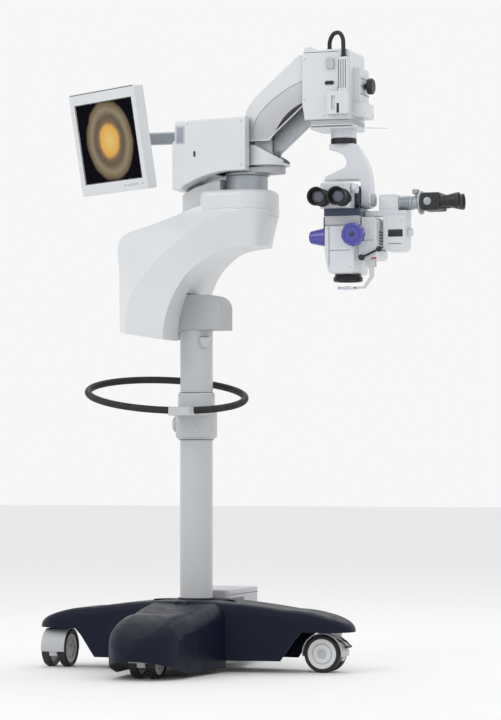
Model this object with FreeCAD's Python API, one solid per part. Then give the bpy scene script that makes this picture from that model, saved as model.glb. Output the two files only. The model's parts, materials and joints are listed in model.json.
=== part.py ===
"""Floor-standing surgical microscope, built as separate solids.

Frame: +Z up, the floor is Z = 0. +X is the side that the spring arm reaches to, -Y is the side
where the surgeon sits. The column stands at (COLUMN_X, COLUMN_Y), so that the origin lies on
the floor below the middle of the whole stand. All sizes are millimetres.
"""
import FreeCAD, Part
import math
import os

V = FreeCAD.Vector
X_AXIS = V(1, 0, 0)
Y_AXIS = V(0, 1, 0)
Z_AXIS = V(0, 0, 1)

# Whole stand
COLUMN_X = -171.0
COLUMN_Y = 21.0
FACE_GAP = 0.3
PIN_PLAY = 0.05

# Casters
CASTER_RADIUS = 448.0
WHEEL_R = 57.5
WHEEL_WIDTH = 24.0
WHEEL_GAP = 30.0
CASTER_TRAIL = 26.0
AXLE_R = 6.0
HOOD_R = WHEEL_R + 6.5
HOOD_WALL = 3.0
CASTER_PLATE_Z = 126.0
STEM_R = 11.0

# Base
CHASSIS_Z = 132.0
CHASSIS_THICK = 20.0
CHASSIS_HALF_WIDTH = 50.0
HUB_R = 105.0
HUB_TOP_Z = 190.0
SHELL_WALL = 5.0
SHELL_TOP_Z = 218.0

# Column
COLUMN_R = 51.0
COLUMN_WALL = 6.0
FLANGE_R = 84.0
FLANGE_THICK = 14.0
COLUMN_TOP_Z = 1150.0
SLEEVE_R = 65.0
SLEEVE_LOW_Z = 722.0
SLEEVE_HIGH_Z = 805.0
COLLAR_R = 58.5
COLLAR_HIGH_Z = 856.0

# Push ring
RING_TUBE_R = 11.0
RING_CENTRE = V(-101, 0, 854)
RING_HALF_LENGTH = 257.0
RING_HALF_WIDTH = 152.0
RING_SLOPE_X = -0.084
RING_SLOPE_Y = 0.325

# Main swivel and elbow
SWIVEL_X = 167.0
ELBOW_X = 236.0
BEARING_R = 65.0
BEARING_LOW_Z = 1440.0
BEARING_TOP_Z = 1533.0
WASHER_THICK = 5.7
SWIVEL_SHAFT_R = 30.0
ELBOW_SHAFT_R = 20.0
PLATE_THICK = 16.0
PLATE_LOW_Z = BEARING_TOP_Z + WASHER_THICK + FACE_GAP
PLATE_TOP_Z = PLATE_LOW_Z + PLATE_THICK
KNUCKLE_LOW_Z = PLATE_TOP_Z + WASHER_THICK + FACE_GAP

# Swivel box
BOX_HALF_WIDTH = 110.0
BOX_WALL = 4.0
BOX_REAR_X = -40.0
BOX_FRONT_X = 198.0
BOX_TOP_Z = 1709.0
BOX_LOW_Z = 1487.0
ELBOW_RECESS_R = 78.0

# Spring arm
ARM_ANGLE = math.radians(41.5)
ARM_LENGTH = 258.0
LINK_SPACING = 70.0
LOWER_PIVOT_Z = 1592.0
UPPER_PIVOT_Z = LOWER_PIVOT_Z + LINK_SPACING
LINK_HALF_HEIGHT = 17.0
BEAM_HALF_HEIGHT = 22.0
BEAM_HALF_WIDTH = 34.0
LINK_HALF_WIDTH = 28.0
CHEEK_INNER = 36.0
CHEEK_OUTER = 48.0
PIVOT_PIN_R = 8.0
OPEN_PIVOT_PLAY = 1.0
ARM_HALF_WIDTH = 70.0
ARM_WALL = 4.0
ARM_TOP = 92.0
ARM_LOW = 35.0

# Head carrier: it and all that hangs from it are drawn round this upper pivot, then set on the arm
CARRIER_PIVOT = V(429.2306, 0, 1832.956)
CARRIER_REAR_X = 372.0
CARRIER_FRONT_X = 526.0
CARRIER_HALF_WIDTH = 80.0
CARRIER_WALL = 4.0
CARRIER_TOP_Z = 1907.0
CARRIER_LOW_Z = 1691.0
STAGE_THICK = 13.0
NECK_X = 482.0
NECK_R = 40.0
NECK_LOW_Z = 1638.3
NECK_SHAFT_R = 15.0
RING_HEIGHT = 17.0

# Microscope
TILT_Z = 1446.0
TILT_DRUM_R = 45.0
TILT_PIN_R = 10.0
YOKE_HALF_WIDTH = 26.0
YOKE_INNER_X = 543.0
YOKE_OUTER_X = 575.0
OPTICS_X = 490.0
EYE_SPACING = 63.0
EYE_TIP_Y = -192.0
OBJECTIVE_R = 45.0
OBJECTIVE_LOW_Z = 1196.0
BODY_LOW_Z = 1218.0

# Monitor
MONITOR_POST_X = -213.0
MONITOR_POST_Y = 98.0
MONITOR_PIN_Y = 64.0
MONITOR_Z = 1660.0
BAR_HEIGHT = 36.0
MONITOR_YAW = -34.0
MONITOR_TILT = 10.0
MONITOR_WIDTH = 362.0
MONITOR_HEIGHT = 325.0
MONITOR_THICK = 50.0
SCREEN_WIDTH = 312.0
SCREEN_HEIGHT = 250.0


def save(name, shape):
    """Write one node, moved from the column's frame to the stand's frame."""
    placed = shape.copy()
    placed.translate(V(COLUMN_X, COLUMN_Y, 0))
    placed.exportStep(os.path.join("parts", name + ".step"))


def block(x_range, y_range, z_range):
    """Box between pairs of limits."""
    size = [pair[1] - pair[0] for pair in (x_range, y_range, z_range)]
    return Part.makeBox(size[0], size[1], size[2], V(x_range[0], y_range[0], z_range[0]))


def rod(start, axis, radius, length):
    """Plain round bar."""
    return Part.makeCylinder(radius, length, start, axis)


def tube(start, axis, outer, inner, length):
    """Round bar with a bore."""
    return rod(start, axis, outer, length).cut(rod(start, axis, inner, length))


def path(start, *steps):
    """Edges through points: a step is a point, or a pair (point on the arc, end point)."""
    edges = []
    here = start
    for step in steps:
        if isinstance(step, tuple):
            edges.append(Part.Arc(here, step[0], step[1]).toShape())
            here = step[1]
        else:
            edges.append(Part.LineSegment(here, step).toShape())
            here = step
    if here.distanceToPoint(start) > 1e-6:
        edges.append(Part.LineSegment(here, start).toShape())
    return Part.Wire(edges)


def side(x, z):
    """Point of a side outline, in the plane Y = 0."""
    return V(x, 0, z)


def side_prism(wire, y_range):
    """Side outline drawn at Y = 0, thickened between two Y values."""
    face = Part.Face(wire)
    face.translate(V(0, y_range[0], 0))
    return face.extrude(V(0, y_range[1] - y_range[0], 0))


def plan_prism(wire, z_range):
    """Plan outline drawn at Z = 0, thickened between two Z values."""
    face = Part.Face(wire)
    face.translate(V(0, 0, z_range[0]))
    return face.extrude(V(0, 0, z_range[1] - z_range[0]))


def fuse(first, *others):
    """One solid from several that touch."""
    return first.fuse(list(others)).removeSplitter()


def round_edges(shape, radius, test):
    """Fillet the edges for which the test holds."""
    chosen = [edge for edge in shape.Edges if test(edge)]
    return shape.makeFillet(radius, chosen)


def runs_along(edge, axis):
    """True for a straight edge along an axis."""
    if len(edge.Vertexes) < 2 or not isinstance(edge.Curve, (Part.Line, Part.LineSegment)):
        return False
    step = edge.Vertexes[1].Point.sub(edge.Vertexes[0].Point)
    return step.Length > 1e-6 and step.cross(axis).Length < 1e-6 * step.Length


def ring_of(shape, count, centre=V(0, 0, 0)):
    """Copies of a shape, evenly turned about an upright axis."""
    copies = []
    for index in range(count):
        copy = shape.copy()
        copy.rotate(centre, Z_AXIS, 360.0 / count * index)
        copies.append(copy)
    return copies


def revolve(points, centre, axis):
    """Solid of revolution from (radius, height) points about an axis through a centre."""
    outline = Part.Wire(Part.makePolygon([V(r, 0, h) for r, h in points + points[:1]]))
    solid = Part.Face(outline).revolve(V(0, 0, 0), Z_AXIS, 360)
    solid.Placement = FreeCAD.Placement(centre, FreeCAD.Rotation(Z_AXIS, axis))
    return solid


# Base
# An arm along +X: plan points (distance, half width) from the hub to the nose, then the side
# view's upper edge and lower edge as (distance, height), and the rounding of the upper edge
SIDE_NOSE = 515.0
FRONT_NOSE = 557.0
PAST_NOSE = 5.0
SIDE_ARM = {
    "nose": SIDE_NOSE,
    "plan": ((-20, 150), (120, 120), (260, 98), (SIDE_NOSE - 75, 84), (SIDE_NOSE - 18, 52)),
    "top": ((-20, SHELL_TOP_Z), (160, 210), (320, 191), (SIDE_NOSE - 75, 173), (SIDE_NOSE + PAST_NOSE, 141)),
    "low": ((-20, 36), (300, 36), (SIDE_NOSE + PAST_NOSE, 36)),
    "round": 28.0,
}
FRONT_ARM = {
    "nose": FRONT_NOSE,
    "plan": ((-20, 150), (120, 137), (260, 125), (FRONT_NOSE - 107, 110), (FRONT_NOSE - 24, 62)),
    "top": ((-20, SHELL_TOP_Z), (140, 207), (300, 186), (FRONT_NOSE - 87, 158), (FRONT_NOSE + PAST_NOSE, 100)),
    "low": ((-20, 14), (390, 14), (FRONT_NOSE + PAST_NOSE, 60)),
    "round": 50.0,
}


def arm_form(arm, inset, drop):
    """Base arm along +X, made smaller all round by an inset and longer below by a drop."""
    near = [V(x, inset - y, 0) for x, y in arm["plan"]]
    far = [V(x, y - inset, 0) for x, y in arm["plan"]]
    tip = V(arm["nose"] - inset, 0, 0)
    plan = path(near[0], (near[1], near[2]), near[3], (near[4], tip), (far[4], far[3]), far[2], (far[1], far[0]))
    top = [side(x, z - inset) for x, z in arm["top"]]
    low = [side(x, z - drop) for x, z in arm["low"]]
    outline = path(top[0], (top[1], top[2]), (top[3], top[4]), low[2], low[1], low[0])
    form = plan_prism(plan, (-100, 260)).common(side_prism(outline, (-200, 200)))
    upper = []
    for edge in form.Edges:
        level = edge.BoundBox.ZMax > 99 and edge.BoundBox.ZLength < 120
        if level and edge.CenterOfMass.x > -19 and not runs_along(edge, Z_AXIS):
            upper.append(edge)
    return form.makeFillet(arm["round"] - max(inset, 0), upper)


def wheel_arch(reach, edge_z):
    """Room that opens the skirt of a side arm round its caster, with a sloping inner end."""
    outline = path(
        side(290, 20),
        side(305, 36),
        side(352, edge_z - 20),
        side(372, edge_z),
        side(reach, edge_z),
        side(reach, 20),
    )
    return side_prism(outline, (-200, 200))


def base_shell():
    """Moulded cover over the base casting, open below, with a hole for the column and four posts."""
    arms = ((0, SIDE_ARM), (90, SIDE_ARM), (180, SIDE_ARM), (270, FRONT_ARM))
    outside = []
    inside = []
    for turn, arm in arms:
        outer = arm_form(arm, 0, 0)
        if arm is SIDE_ARM:
            outer = outer.cut(wheel_arch(540, 124))
        inner = arm_form(arm, SHELL_WALL, 90)
        for form, forms in ((outer, outside), (inner, inside)):
            form.rotate(V(0, 0, 0), Z_AXIS, turn)
            forms.append(form)
    posts = ring_of(rod(V(68, 68, HUB_TOP_Z), Z_AXIS, 7, 23), 4)
    shell = fuse(*outside)
    for form in inside:
        shell = shell.cut([form], 0.001)
    shell = fuse(shell, *posts)
    return shell.cut(rod(V(0, 0, 100), Z_AXIS, COLUMN_R + 1.0, 200))


def base_chassis():
    """Cast iron cross with a hub, a web below each arm and a boss over each caster."""
    reach = CASTER_RADIUS + 22
    pieces = [rod(V(0, 0, 60), Z_AXIS, HUB_R, HUB_TOP_Z - 60)]
    for turn in range(4):
        arm = block((0, reach), (-CHASSIS_HALF_WIDTH, CHASSIS_HALF_WIDTH), (CHASSIS_Z, CHASSIS_Z + CHASSIS_THICK))
        arm = round_edges(arm, 36, lambda e: runs_along(e, Z_AXIS) and e.CenterOfMass.x > 1)
        web = side_prism(path(side(90, 60), side(90, 135), side(325, 135), side(300, 100), side(200, 66)), (-9, 9))
        arm = arm.fuse(web)
        arm.rotate(V(0, 0, 0), Z_AXIS, 90 * turn)
        pieces.append(arm)
    cross = fuse(*pieces)
    for stem in ring_of(rod(V(CASTER_RADIUS, 0, 100), Z_AXIS, STEM_R + PIN_PLAY, 100), 4):
        cross = cross.cut(stem)
    return cross


def base_connector_box():
    """Electrical box on the rear arm, with a step for its lid and a recess for the inlet."""
    box = block((-78, 78), (75, 372), (160, 243))
    box = round_edges(box, 14, lambda e: runs_along(e, Z_AXIS))
    box = round_edges(box, 5, lambda e: e.CenterOfMass.z > 242)
    seated = box
    for turn in (0, 90, 180):
        arm = arm_form(SIDE_ARM, -FACE_GAP, 0)
        arm.rotate(V(0, 0, 0), Z_AXIS, turn)
        seated = seated.cut(arm)
    seated = max(seated.Solids, key=lambda s: s.BoundBox.ZMax)
    recess = block((-45, 35), (352, 380), (188, 232))
    return seated.cut(recess)


def power_inlet():
    """Appliance inlet in the rear recess: a flange round a deep well."""
    plate = block((-43, -3), (352, 358), (190, 230))
    well = block((-38, -8), (355, 380), (199, 221))
    body = block((-40, -6), (352, 372), (196, 224)).cut(well)
    return fuse(plate.cut(well), body)


def mains_switch():
    """Rocker in the rear recess, beside the inlet."""
    rocker = path(V(5, 352.3, 210), V(5, 354.5, 196), (V(5, 363, 210), V(5, 354.5, 224)))
    return Part.Face(rocker).extrude(V(22, 0, 0))


def caster_fork():
    """Swivelling caster body: stem, round top plate, middle web and a hood over both wheels."""
    axle_x = -CASTER_TRAIL
    half = WHEEL_GAP / 2 + WHEEL_WIDTH
    web_half = WHEEL_GAP / 2 - 2.5
    hood = rod(V(axle_x, -half, WHEEL_R), Y_AXIS, HOOD_R, 2 * half)
    hood = hood.cut(rod(V(axle_x, -half - 1, WHEEL_R), Y_AXIS, HOOD_R - HOOD_WALL, 2 * half + 2))
    hood = hood.cut(block((-200, 200), (-100, 100), (-20, WHEEL_R - 8)))
    hood = hood.cut(block((-200, 200), (-100, 100), (CASTER_PLATE_Z - 6, 200)))
    web = rod(V(axle_x, -web_half, WHEEL_R), Y_AXIS, HOOD_R - HOOD_WALL, 2 * web_half)
    web = web.cut(block((-200, 200), (-100, 100), (-20, WHEEL_R - 22)))
    web = web.cut(rod(V(axle_x, -100, WHEEL_R), Y_AXIS, AXLE_R + PIN_PLAY, 200))
    plate = rod(V(0, 0, CASTER_PLATE_Z - 12), Z_AXIS, 26, 12 + 5.7)
    stem = rod(V(0, 0, CASTER_PLATE_Z), Z_AXIS, STEM_R, 25)
    fork = fuse(hood, web, plate, stem)
    return fork.cut(clearance_ring(axle_x, half))


def clearance_ring(axle_x, half):
    """Room for the two wheels below the hood and beside the web."""
    web_half = WHEEL_GAP / 2 - 2.5
    left = rod(V(axle_x, -half - 1, WHEEL_R), Y_AXIS, WHEEL_R + 2.5, half + 1 - web_half)
    right = rod(V(axle_x, web_half, WHEEL_R), Y_AXIS, WHEEL_R + 2.5, half + 1 - web_half)
    return left.fuse(right)


def caster_wheels():
    """Two wheels on one axle: tyres with a rounded tread and dished hubs."""
    axle_x = -CASTER_TRAIL
    wheels = []
    for facing in (-1, 1):
        inner = facing * WHEEL_GAP / 2
        profile = [
            (AXLE_R, 0), (22, 0), (24, 6), (44, 6), (46, 0), (WHEEL_R - 3, 0), (WHEEL_R, 4),
            (WHEEL_R, WHEEL_WIDTH - 4), (WHEEL_R - 3, WHEEL_WIDTH), (46, WHEEL_WIDTH), (43, WHEEL_WIDTH - 4),
            (16, WHEEL_WIDTH - 4), (14, WHEEL_WIDTH), (AXLE_R, WHEEL_WIDTH),
        ]
        wheels.append(revolve(profile, V(axle_x, inner, WHEEL_R), Y_AXIS * facing))
    axle = rod(V(axle_x, -WHEEL_GAP / 2 - WHEEL_WIDTH, WHEEL_R), Y_AXIS, AXLE_R, WHEEL_GAP + 2 * WHEEL_WIDTH)
    return fuse(axle, *wheels)


def place_caster(piece, turn, heading):
    """Turn a caster piece about its stem by a heading, then carry it to the end of an arm."""
    placed = piece.copy()
    placed.rotate(V(0, 0, 0), Z_AXIS, heading)
    placed.translate(V(CASTER_RADIUS, 0, 0))
    placed.rotate(V(0, 0, 0), Z_AXIS, turn)
    return placed


# Column
def column_tube():
    """Column with its foot flange and a closing plug at its top."""
    low = HUB_TOP_Z
    column = tube(V(0, 0, low), Z_AXIS, COLUMN_R, COLUMN_R - COLUMN_WALL, COLUMN_TOP_Z - low)
    flange = tube(V(0, 0, low), Z_AXIS, FLANGE_R, COLUMN_R - COLUMN_WALL, FLANGE_THICK)
    holes = ring_of(rod(V(FLANGE_R - 15, 0, low - 1), Z_AXIS, 5.5, FLANGE_THICK + 2), 8)
    return fuse(column, flange).cut(fuse(*holes))


def column_sleeve():
    """Moulded sleeve round the column at the push ring, tapered at its foot and its top."""
    profile = [
        (COLUMN_R, SLEEVE_LOW_Z - 8), (COLUMN_R + 4, SLEEVE_LOW_Z - 8), (SLEEVE_R, SLEEVE_LOW_Z),
        (SLEEVE_R, SLEEVE_HIGH_Z), (COLLAR_R, SLEEVE_HIGH_Z + 4), (COLLAR_R - 1, COLLAR_HIGH_Z),
        (COLLAR_R - 4, COLLAR_HIGH_Z + 3), (COLUMN_R, COLLAR_HIGH_Z + 3),
    ]
    return revolve(profile, V(0, 0, 0), Z_AXIS)


def sleeve_clamp():
    """Clamping boss on the sleeve's left side."""
    profile = [(0, 0), (26, 0), (26, 8), (22, 13), (0, 13)]
    boss = revolve(profile, V(-SLEEVE_R + 5, 0, 762), V(-1, 0, 0))
    return boss.cut(rod(V(0, 0, 700), Z_AXIS, SLEEVE_R - 1, 120))


def push_ring():
    """Closed oval tube that leans round the column."""
    along = V(1, 0, RING_SLOPE_X).normalize()
    normal = V(-RING_SLOPE_X, -RING_SLOPE_Y, 1).normalize()
    across = normal.cross(along).normalize()
    oval = Part.Ellipse(
        RING_CENTRE + along * RING_HALF_LENGTH, RING_CENTRE + across * RING_HALF_WIDTH, RING_CENTRE
    )
    start = oval.value(0)
    section = Part.Wire(Part.Circle(start, oval.tangent(0)[0], RING_TUBE_R).toShape())
    loop = Part.Wire(oval.toShape()).makePipeShell([section], True, True)
    return Part.Solid(loop) if loop.ShapeType == "Shell" else loop


def ring_mount():
    """Bracket from the sleeve forward to the push ring, bored for the ring's tube."""
    top = SLEEVE_HIGH_Z - 2
    plate = block((-62, 62), (-165, 0), (top - 34, top + 14))
    wedge = plan_prism(path(V(-58, 0, 0), V(-34, -160, 0), V(34, -160, 0), V(58, 0, 0)), (top - 16, top + 10))
    return wedge.common(plate).cut(rod(V(0, 0, 600), Z_AXIS, COLUMN_R, 400))


def column_cup():
    """Small tapered cable outlet on the front of the column."""
    heading = math.radians(-44)
    place = V(math.cos(heading), math.sin(heading), 0) * (COLUMN_R + 6)
    profile = [(0, 0), (11, 0), (19, 26), (19, 31), (0, 31)]
    cup = revolve(profile, place + V(0, 0, 1000), Z_AXIS)
    return cup.cut(rod(V(0, 0, 900), Z_AXIS, COLUMN_R, 300))


# Upper housing
# Stations from the foot to the nose. Each gives X, Z and half width of the outer edge, of the
# side crease and of the inner edge
HOUSING = [
    ((-230, 1050, 68), (-162, 1039, 200), (-42, 1020, 187)),
    ((-232, 1150, 70), (-157, 1115, 199), (-38, 1075, 186)),
    ((-233, 1250, 72), (-135, 1175, 192), (-20, 1145, 172)),
    ((-228, 1338, 76), (-85, 1248, 174), (20, 1222, 146)),
    ((-150, 1374, 84), (-10, 1325, 150), (75, 1272, 115)),
    ((-40, 1408, 90), (67, 1384, 125), (130, 1299, 92)),
    ((60, 1440, 94), (150, 1414, 105), (190, 1309, 82)),
    ((170, 1442, 92), (215, 1418, 96), (222, 1311, 72)),
    ((225, 1441, 62), (252, 1419, 62), (235, 1312, 42)),
    ((263, 1437, 16), (260, 1420, 18), (244, 1316, 12)),
]
HOUSING_WALL = 6.0
HEAD_HALF_WIDTH = 56.0


def rail_edge(points):
    """Smooth edge through points."""
    curve = Part.BSplineCurve()
    curve.interpolate(Points=points, Parameters=[float(index) for index in range(len(points))])
    return curve.toShape()


def housing_solid(inset):
    """Housing body from six rails; an inset makes its hollow, which runs out at the foot."""
    stations = []
    last = len(HOUSING) - 1
    for index, (outer, crease, inner) in enumerate(HOUSING):
        middle_x = (outer[0] + inner[0]) / 2
        middle_z = (outer[1] + inner[1]) / 2
        drop = 60 if inset and index == 0 else 0
        pull = inset if index == last else 0
        moved = []
        for x, z, y in (outer, crease, inner):
            reach = math.hypot(x - middle_x, z - middle_z)
            share = inset / reach if reach > inset else 0.0
            place = (x + (middle_x - x) * share - pull, max(y - inset, 4), z + (middle_z - z) * share - drop)
            moved.append(place)
        stations.append(moved)
    rails = [[V(s[corner][0], -s[corner][1], s[corner][2]) for s in stations] for corner in (0, 1, 2)]
    rails += [[V(s[corner][0], s[corner][1], s[corner][2]) for s in stations] for corner in (2, 1, 0)]
    edges = [rail_edge(rail) for rail in rails]
    faces = [Part.makeRuledSurface(edges[index], edges[(index + 1) % 6]) for index in range(6)]
    for end in (0, -1):
        for corners in ((0, 1, 4, 5), (1, 2, 3, 4)):
            points = [rails[corner][end] for corner in corners]
            faces.append(Part.Face(Part.makePolygon(points + points[:1])))
    shell = Part.makeShell(faces)
    shell.sewShape()
    solid = Part.Solid(shell)
    if solid.Volume < 0:
        solid.reverse()
    return solid


def housing_shell(facing):
    """One half of the moulded housing, split along the middle plane, open at its foot."""
    shell = housing_solid(0).cut(housing_solid(HOUSING_WALL))
    head_half = HEAD_HALF_WIDTH + FACE_GAP
    opening = block((-90, 120), (-head_half, head_half), (980, 1169))
    shell = shell.cut(opening)
    shell = shell.cut(rod(V(SWIVEL_X, 0, 1400), Z_AXIS, BEARING_R + 0.5, 100))
    half = block((-400, 400), (0, 400), (900, 1600)) if facing > 0 else block((-400, 400), (-400, 0), (900, 1600))
    return shell.common(half)


def housing_plinth():
    """Raised cap on the housing's nose, round the bearing, with rolled edges."""
    rear_x, half_width = 40, 100
    outline = path(
        V(rear_x, -half_width, 0),
        V(SWIVEL_X, -half_width, 0),
        (V(SWIVEL_X + half_width, 0, 0), V(SWIVEL_X, half_width, 0)),
        V(rear_x, half_width, 0),
    )
    cap = plan_prism(outline, (1405, 1486))
    cap = round_edges(cap, 26, lambda e: runs_along(e, Z_AXIS) and e.CenterOfMass.x < 60)
    cap = round_edges(cap, 20, lambda e: e.CenterOfMass.z > 1485.9)
    cap = cap.cut(housing_solid(0)).cut(rod(V(SWIVEL_X, 0, 1300), Z_AXIS, BEARING_R + 0.5, 300))
    return max(cap.Solids, key=lambda s: s.Volume)


def column_head():
    """Casting on the column's top: a visible block below the housing, and the arm inside it."""
    outline = path(
        side(-66, 1055),
        side(99, 1055),
        side(99, 1120),
        (side(84, 1153), side(48, 1163)),
        side(-12, 1165),
        side(-34, 1168),
        side(-4, 1240),
        side(60, 1306),
        side(130, 1334),
        side(SWIVEL_X, 1344),
        side(SWIVEL_X, BEARING_LOW_Z - 8),
        side(40, 1412),
        side(-90, 1356),
        side(-140, 1270),
        side(-145, 1150),
    )
    casting = side_prism(outline, (-HEAD_HALF_WIDTH, HEAD_HALF_WIDTH))
    boss = rod(V(SWIVEL_X, 0, 1336), Z_AXIS, BEARING_R - 3, BEARING_LOW_Z - 1336)
    casting = fuse(casting, boss)
    casting = casting.cut(rod(V(0, 0, 1000), Z_AXIS, COLUMN_R, COLUMN_TOP_Z - 1000))
    return casting.cut(rod(V(SWIVEL_X, 0, 1380), Z_AXIS, SWIVEL_SHAFT_R + 4, 100))


def bearing_housing():
    """Round bearing housing that rises through the nose, bored for the swivel shaft."""
    profile = [
        (SWIVEL_SHAFT_R + PIN_PLAY, BEARING_LOW_Z), (BEARING_R, BEARING_LOW_Z), (BEARING_R, BEARING_TOP_Z - 3),
        (BEARING_R - 3, BEARING_TOP_Z), (SWIVEL_SHAFT_R + PIN_PLAY, BEARING_TOP_Z),
    ]
    return revolve(profile, V(SWIVEL_X, 0, 0), Z_AXIS)


def swivel_washer():
    """Black bearing disc on top of the bearing housing."""
    low = V(SWIVEL_X, 0, BEARING_TOP_Z)
    return tube(low, Z_AXIS, BEARING_R + 6, SWIVEL_SHAFT_R + PIN_PLAY, WASHER_THICK)


def swivel_pedestal():
    """Fixed fairing behind the bearing, its top turned about the swivel so that the box clears it."""
    outline = path(
        side(-28, 1400),
        side(-28, 1478),
        (side(4, 1497), side(40, 1508)),
        side(98, 1524),
        side(98, 1400),
    )
    fairing = side_prism(outline, (-58, 58))
    fairing = round_edges(fairing, 8, lambda e: e.CenterOfMass.x < -27.9 and runs_along(e, Z_AXIS))
    swept = [(0, 1400), (210, 1400), (210, 1468), (195, 1478), (163, 1497), (127, 1508), (69, 1524), (0, 1524)]
    fairing = fairing.common(revolve(swept, V(SWIVEL_X, 0, 0), Z_AXIS))
    fairing = fairing.cut(housing_solid(0)).cut(housing_plinth())
    fairing = fairing.cut(rod(V(SWIVEL_X, 0, 1300), Z_AXIS, BEARING_R, 300))
    return max(fairing.Solids, key=lambda s: s.CenterOfMass.z)


# Swivel arm
def swivel_plate():
    """Cast plate with the main shaft below, the elbow's bore in front and a web for the covers."""
    flange = BEARING_R - 2
    lobe = ELBOW_X - SWIVEL_X
    plan = path(
        V(SWIVEL_X, -flange, 0),
        V(ELBOW_X, -flange + 8, 0),
        (V(ELBOW_X + flange - 8, 0, 0), V(ELBOW_X, flange - 8, 0)),
        V(SWIVEL_X, flange, 0),
        (V(SWIVEL_X - flange, 0, 0), V(SWIVEL_X, -flange, 0)),
    )
    plate = plan_prism(plan, (PLATE_LOW_Z, PLATE_TOP_Z))
    shaft = rod(V(SWIVEL_X, 0, BEARING_LOW_Z + 8), Z_AXIS, SWIVEL_SHAFT_R, PLATE_LOW_Z - BEARING_LOW_Z - 8)
    web_line = path(
        side(SWIVEL_X - 60, PLATE_TOP_Z - 4),
        side(BOX_REAR_X + 12, 1618),
        side(BOX_REAR_X + 12, 1692),
        side(30, 1697),
        side(140, 1650),
        side(SWIVEL_X - 22, PLATE_TOP_Z - 4),
    )
    web = side_prism(web_line, (-9, 9))
    web = web.cut(rod(V(45, -20, 1645), Y_AXIS, 26, 40))
    elbow_bore = rod(V(ELBOW_X, 0, 1500), Z_AXIS, ELBOW_SHAFT_R + PIN_PLAY, 100)
    return fuse(plate, shaft, web).cut(elbow_bore)


def elbow_washer():
    """Black bearing disc on the plate below the elbow."""
    low = V(ELBOW_X, 0, PLATE_TOP_Z)
    return tube(low, Z_AXIS, BEARING_R - 12, ELBOW_SHAFT_R + PIN_PLAY, WASHER_THICK)


def box_outline():
    """Side outline of the swivel box, with its stepped rear edge and arched lower edge."""
    return path(
        side(BOX_REAR_X, BOX_LOW_Z),
        side(BOX_REAR_X, 1634),
        side(BOX_REAR_X + 8, 1640),
        side(BOX_REAR_X + 8, BOX_TOP_Z - 14),
        (side(BOX_REAR_X + 10, BOX_TOP_Z - 10), side(BOX_REAR_X + 16, BOX_TOP_Z - 8)),
        side(BOX_FRONT_X, BOX_TOP_Z),
        side(BOX_FRONT_X, 1543),
        side(132, 1542),
        (side(84, 1534), side(34, 1518)),
        side(-4, 1500),
        side(-16, BOX_LOW_Z),
    )


def swivel_cover(facing):
    """One half of the swivel box: side panel, rear wall, roof and half of the hollow front end."""
    outer = Part.Face(box_outline())
    inner = outer.makeOffset2D(-BOX_WALL, 2)
    shell = outer.extrude(V(0, facing * BOX_HALF_WIDTH, 0))
    edges = [e for e in shell.Edges if abs(abs(e.CenterOfMass.y) - BOX_HALF_WIDTH) < 0.1 and e.CenterOfMass.z > 1690]
    shell = shell.makeFillet(6, edges)
    shell = shell.cut(inner.extrude(V(0, facing * (BOX_HALF_WIDTH - BOX_WALL), 0)))
    end_wall = tube(V(ELBOW_X, 0, 1543), Z_AXIS, ELBOW_RECESS_R + BOX_WALL, ELBOW_RECESS_R, BOX_TOP_Z - 1548)
    end_wall = end_wall.common(block((100, BOX_FRONT_X), (-BOX_HALF_WIDTH + 4, BOX_HALF_WIDTH - 4), (1500, 1704)))
    side_half = block((-100, 300), tuple(sorted((0, facing * 200))), (1400, 1800))
    shell = fuse(shell, end_wall.common(side_half))
    shell = shell.cut(rod(V(ELBOW_X, 0, 1400), Z_AXIS, ELBOW_RECESS_R, 400))
    room = block((85, 300), (-BEARING_R - 8, BEARING_R + 8), (1500, PLATE_TOP_Z + 1.5))
    shell = shell.cut(room)
    return max(shell.Solids, key=lambda s: s.Volume)


def monitor_bar():
    """Flat bar from the box's rear wall to the monitor's swivel head."""
    low, high = MONITOR_Z - BAR_HEIGHT / 2, MONITOR_Z + BAR_HEIGHT / 2
    bar = block((MONITOR_POST_X, BOX_REAR_X + 8), (-14, 14), (low, high))
    bar = round_edges(bar, 5, lambda e: runs_along(e, X_AXIS))
    flange = block((BOX_REAR_X - 2, BOX_REAR_X + 8), (-34, 34), (1640.5, 1684))
    eye = rod(V(MONITOR_POST_X, 0, low), Z_AXIS, 17, BAR_HEIGHT)
    bar = fuse(bar, flange, eye)
    return bar.cut(rod(V(MONITOR_POST_X, 0, low - 10), Z_AXIS, 8 + PIN_PLAY, BAR_HEIGHT + 20))


# Spring arm
def pivot(level, at_carrier):
    """Centre of one of the four pivots of the arm's parallelogram."""
    x, z = ELBOW_X, level
    if at_carrier:
        x += ARM_LENGTH * math.cos(ARM_ANGLE)
        z += ARM_LENGTH * math.sin(ARM_ANGLE)
    return V(x, 0, z)


def along_arm(distance, height, level=UPPER_PIVOT_Z):
    """Point at a distance along the arm and a height square to it."""
    start = pivot(level, False)
    lengthwise = V(math.cos(ARM_ANGLE), 0, math.sin(ARM_ANGLE))
    upward = V(-math.sin(ARM_ANGLE), 0, math.cos(ARM_ANGLE))
    return start + lengthwise * distance + upward * height


def cross_pin(centre, radius, half_length):
    """Pin across the arm."""
    return rod(centre - Y_AXIS * half_length, Y_AXIS, radius, 2 * half_length)


def link_bar(level, half_height, half_width, end_bore):
    """Bar between two pivots with round ends and a bore at each."""
    start, end = pivot(level, False), pivot(level, True)
    outline = path(
        along_arm(0, -half_height, level),
        along_arm(ARM_LENGTH, -half_height, level),
        (along_arm(ARM_LENGTH + half_height, 0, level), along_arm(ARM_LENGTH, half_height, level)),
        along_arm(0, half_height, level),
        (along_arm(-half_height, 0, level), along_arm(0, -half_height, level)),
    )
    bar = side_prism(outline, (-half_width, half_width))
    bar = bar.cut(cross_pin(start, PIVOT_PIN_R + PIN_PLAY, 100))
    return bar.cut(cross_pin(end, end_bore, 100))


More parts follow.
